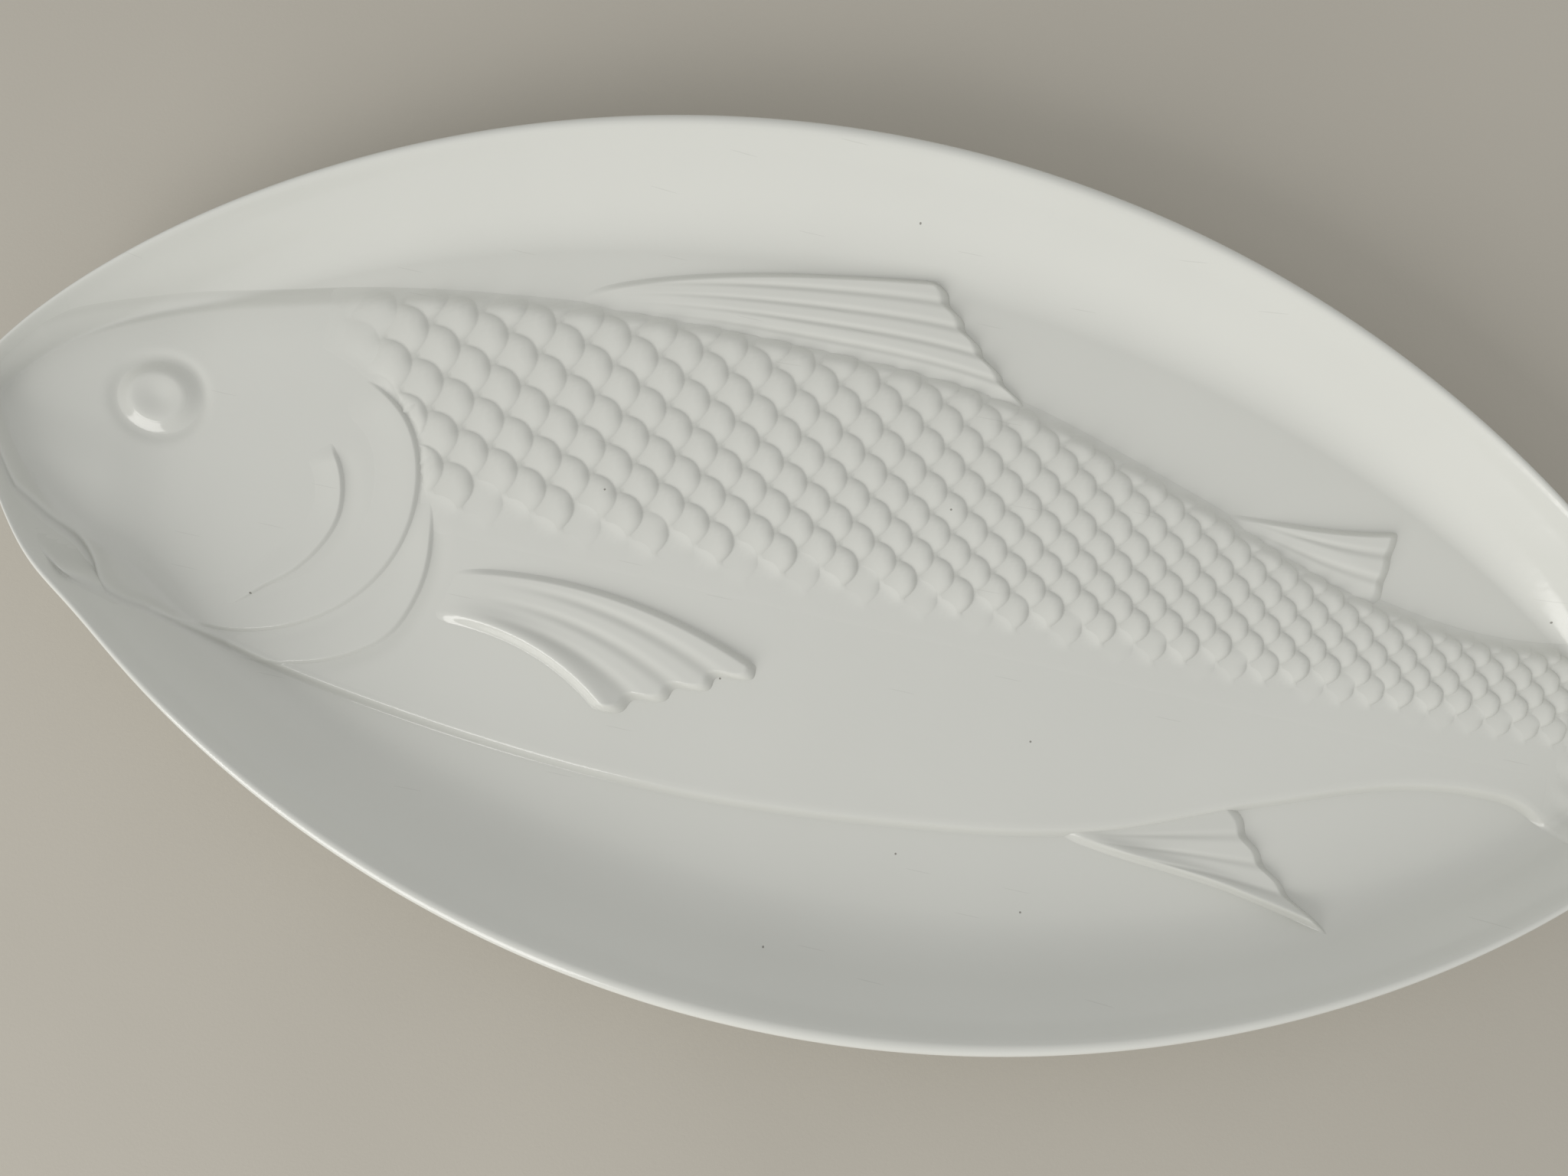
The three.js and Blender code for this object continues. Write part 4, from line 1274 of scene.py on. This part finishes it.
class PLATTER_OT_fins(PlatterOperator):
    """Make the fins on the back, under the belly and on the flank"""

    bl_idname = "platter.fins"
    bl_label = "Fins"
    COLUMNS = 150
    ROWS = 84
    # How deep a fin's border is set in, and how far its root runs on over the fish
    SINK = 0.00018
    ROOT_LAP = 0.003
    # Height of the ridge along a lower edge, and the place and width of its crest
    RIDGE = 0.0018
    RIDGE_WIDTH = 0.0046
    # Share of the drop at the trailing edge that lies outside it, and how that drop is bowed
    TRAIL_LEAD = 0.25
    TRAIL_BOW = 1.2
    # Grooves: their sharpness on a plain and on a rounded fin, and their run out at its sides
    SHARP = 8.0
    SOFT = 2.6
    GROOVE_RUN = 0.006
    # How fast the front edge, the ridge, the scallops, the grooves and the darker glaze in them set in; that
    # darker glaze, in the grooves and down the trailing drop, is glaze pooling and painted shade
    FRONT_RATE = 7.0
    RIDGE_RATE = 3.0
    SCALLOP_RATE = 1.5
    SCALLOP_DELAY = 0.5
    GROOVE_RATE = 1.8
    GROOVE_DELAY = 0.2
    POOL_AND_SHADE_RATE = 2.0
    GROOVE_POOL_AND_SHADE = 0.6
    TRAIL_POOL_AND_SHADE = 0.8

    def side(self, fins, out, fall):
        """Share of a fin's thickness at its side: a soft drop, or less where it grows out of the fish."""
        if fall:
            return ease(out / fall)
        return mix(fins.root_share, 1.0, ease(out / fins.root_run))

    def fin(
        self, form, glaze, name, node, low, high, bed,
        ribs, falls, front, scallop, ridge=0.0, rounded=0.0, bow=0.0,
    ):
        """A ribbed fin between two lines, from its front to its trailing edge."""
        fins = form.fins
        low_fall, high_fall = falls
        start, finish = (np.array(high(np.array(a))) for a in (0.0, 1.0))
        trail_reach = 1.0 + self.TRAIL_LEAD * fins.trail_fall / np.hypot(*(finish - start))

        def between(along, b):
            """The place between the two lines, and the distance from line to line there."""
            low_x, low_y = low(along)
            high_x, high_y = high(along)
            return mix(low_x, high_x, b), mix(low_y, high_y, b), np.hypot(high_x - low_x, high_y - low_y)

        def shape(a, b):
            rib = 0.5 - 0.5 * np.cos(FULL_TURN * ribs * b)
            end = trail_reach - scallop * (1.0 - rib) - bow * 4.0 * b * (1.0 - b)
            end_x, end_y, _ = between(end, b)
            scalloped = ease(a * self.SCALLOP_RATE - self.SCALLOP_DELAY)
            x, y, span = between(a * mix(trail_reach, end, scalloped), b)
            low_out = b * span
            high_out = (1.0 - b) * span
            groove = np.abs(np.cos(math.pi * ribs * b)) ** mix(self.SHARP, self.SOFT, rounded)
            depth = fins.groove * (1.0 + rounded) * groove * ease(a * self.GROOVE_RATE - self.GROOVE_DELAY)
            depth = depth * ease(low_out / self.GROOVE_RUN) * ease(high_out / self.GROOVE_RUN)
            crest = bell((low_out - self.RIDGE_WIDTH) / self.RIDGE_WIDTH) * ease(a * self.RIDGE_RATE)
            thick = mix(front, fins.tip, np.sqrt(a)) - depth + ridge * crest
            trail = bowed(np.hypot(end_x - x, end_y - y) / fins.trail_fall, self.TRAIL_BOW)
            sides = self.side(fins, low_out, low_fall) * self.side(fins, high_out, high_fall)
            part = sides * trail * ease(a * self.FRONT_RATE)
            ground = bed(x, y)
            height = ground + thick * part - self.SINK * (1.0 - part)
            # Darker glaze in the grooves and down the trailing drop: glaze pooling and painted shade
            hollow = groove * self.GROOVE_POOL_AND_SHADE * ease(a * self.POOL_AND_SHADE_RATE) + (1.0 - trail) * self.TRAIL_POOL_AND_SHADE
            return x, y, height, ground - form.fish.bury, np.clip(hollow, 0.0, 1.0)

        relief(name, node, self.COLUMNS, self.ROWS, shape, glaze)

    def edge_lines(self, form, side, start, base_end, tip_end, height, bow):
        """The lines of a fin that stands off the back (side 1) or the belly (side -1)."""
        edge = form.back_edge if side > 0 else form.belly_edge

        def base(a):
            x = form.at_station(mix(start, base_end, a))
            return x, edge(x) - side * self.ROOT_LAP

        def outer(a):
            x = form.at_station(mix(start, tip_end, a))
            return x, edge(x) + side * (form.fins.root + height * a ** bow)

        return base, outer

    def execute(self, context):
        form = Form(context.scene.fish_platter)
        glaze = white_glaze(form.finish)
        fins = form.fins
        fall = fins.edge_fall
        base, outer = self.edge_lines(
            form, side=1, start=0.307, base_end=0.596, tip_end=0.5243, height=fins.dorsal_height, bow=0.6
        )
        self.fin(
            form, glaze, "back_fin", "dorsal_fin", base, outer, form.dish_top,
            ribs=5, falls=(0.0, fall), front=fins.root, scallop=0.012, rounded=0.3, bow=0.02,
        )
        base, outer = self.edge_lines(
            form, side=1, start=0.7153, base_end=0.8165, tip_end=0.821, height=fins.adipose_height, bow=1.0
        )
        self.fin(
            form, glaze, "small_fin", "adipose_fin", base, outer, form.dish_top,
            ribs=3, falls=(0.0, fall * 0.8), front=fins.root, scallop=0.006, rounded=0.3,
        )
        base, outer = self.edge_lines(
            form, side=-1, start=0.655, base_end=0.757, tip_end=0.8222, height=fins.anal_height, bow=1.2
        )
        self.fin(
            form, glaze, "belly_fin", "anal_fin", outer, base, form.dish_top,
            ribs=4, falls=(fall * 1.5, 0.0), front=0.0020, scallop=0.02, ridge=self.RIDGE, bow=0.06,
        )
        root_x = form.gill_x + form.head.gill_radius + fins.pectoral_gap

        def curve(points):
            """A bend through three points: along the fin, and down from the gill centre."""
            places = [
                np.array((root_x + along * fins.pectoral_length, form.gill_y - down * fins.pectoral_depth))
                for along, down in points
            ]

            def line(a):
                weights = ((1.0 - a) ** 2, 2.0 * a * (1.0 - a), a * a)
                return tuple(sum(w * place[axis] for w, place in zip(weights, places)) for axis in (0, 1))

            return line

        lower = curve([(-0.035, 0.686), (0.31, 0.61), (0.56, 1.03)])
        upper = curve([(0.0, 0.305), (0.53, 0.08), (1.05, 0.53)])
        self.fin(
            form, glaze, "side_fin", "pectoral_fin", lower, upper, form.fish_top,
            ribs=4, falls=(fall * 1.3, fall), front=fins.root, scallop=0.04, ridge=self.RIDGE, rounded=0.7,
        )
        return {"FINISHED"}


class PLATTER_OT_stage(PlatterOperator):
    """Set the camera, the soft lamp and the plain floor"""

    bl_idname = "platter.stage"
    bl_label = "Stage"
    SENSOR = 36.0
    CLIP_START = 0.01
    LAMP_COLOUR = (1.0, 0.985, 0.96)
    SKY_COLOUR = (1.0, 1.0, 0.985)
    FLOOR_CELLS = 8

    def execute(self, context):
        settings = context.scene.fish_platter
        stage = settings.stage
        scene = context.scene
        camera = bpy.data.objects.new("camera", bpy.data.cameras.new("camera"))
        camera.data.lens = stage.lens
        camera.data.sensor_width = self.SENSOR
        camera.data.clip_start = self.CLIP_START
        back = (Vector(stage.eye) - Vector(stage.aim)).normalized()
        right = Vector(stage.right)
        right = (right - back * right.dot(back)).normalized()
        turn = Matrix((right, back.cross(right), back)).transposed().to_4x4()
        camera.matrix_world = Matrix.Translation(Vector(stage.eye)) @ turn
        scene.collection.objects.link(camera)
        scene.camera = camera
        lamp = bpy.data.lights.new("soft_lamp", "AREA")
        lamp.energy = stage.key_power
        lamp.size = stage.key_size
        lamp.color = self.LAMP_COLOUR
        key = bpy.data.objects.new("soft_lamp", lamp)
        level = math.cos(stage.key_rise)
        toward = Vector((
            level * math.cos(stage.key_heading), level * math.sin(stage.key_heading), math.sin(stage.key_rise)
        ))
        facing = toward.to_track_quat("Z", "Y").to_matrix().to_4x4()
        key.matrix_world = Matrix.Translation(toward * stage.key_distance) @ facing
        scene.collection.objects.link(key)
        world = bpy.data.worlds.new("soft_room")
        world.use_nodes = True
        sky = world.node_tree.nodes["Background"]
        sky.inputs["Color"].default_value = rgba(self.SKY_COLOUR)
        sky.inputs["Strength"].default_value = stage.sky
        scene.world = world
        scene.view_settings.view_transform = "Standard"
        bm = bmesh.new()
        cells = self.FLOOR_CELLS
        bmesh.ops.create_grid(bm, x_segments=cells, y_segments=cells, size=stage.floor_size / 2)
        mesh = bpy.data.meshes.new("floor")
        bm.to_mesh(mesh)
        bm.free()
        mesh.materials.append(floor_finish(settings.finish))
        floor = bpy.data.objects.new("floor", mesh)
        scene.collection.objects.link(floor)
        return {"FINISHED"}


class PLATTER_PT_sidebar(bpy.types.Panel):
    """The platter's operators, sizes and colours"""

    bl_idname = "PLATTER_PT_sidebar"
    bl_label = "Fish platter"
    bl_space_type = "VIEW_3D"
    bl_region_type = "UI"
    bl_category = "Platter"

    def draw(self, context):
        layout = self.layout
        for operator in OPERATORS:
            layout.operator(operator.bl_idname)
        settings = context.scene.fish_platter
        for name in PlatterSettings.__annotations__:
            box = layout.box()
            group = getattr(settings, name)
            for field in type(group).__annotations__:
                box.prop(group, field)


SETTINGS = (
    DishSizes, FishSizes, HeadSizes, ScaleSizes, FinSizes, FinishColours, StageSizes, PlatterSettings,
)
OPERATORS = (
    PLATTER_OT_stage, PLATTER_OT_dish, PLATTER_OT_foot, PLATTER_OT_fish, PLATTER_OT_gills, PLATTER_OT_eye,
    PLATTER_OT_jaw, PLATTER_OT_scales, PLATTER_OT_fins,
)
CLASSES = (*SETTINGS, *OPERATORS, PLATTER_PT_sidebar)


def register():
    for cls in CLASSES:
        bpy.utils.register_class(cls)
    bpy.types.Scene.fish_platter = PointerProperty(type=PlatterSettings)


def unregister():
    del bpy.types.Scene.fish_platter
    for cls in reversed(CLASSES):
        bpy.utils.unregister_class(cls)


def main():
    register()
    bpy.ops.platter.stage()
    bpy.ops.platter.dish()
    bpy.ops.platter.foot()
    bpy.ops.platter.fish()
    bpy.ops.platter.gills()
    bpy.ops.platter.eye()
    bpy.ops.platter.jaw()
    bpy.ops.platter.scales()
    bpy.ops.platter.fins()


if __name__ == "__main__":
    main()
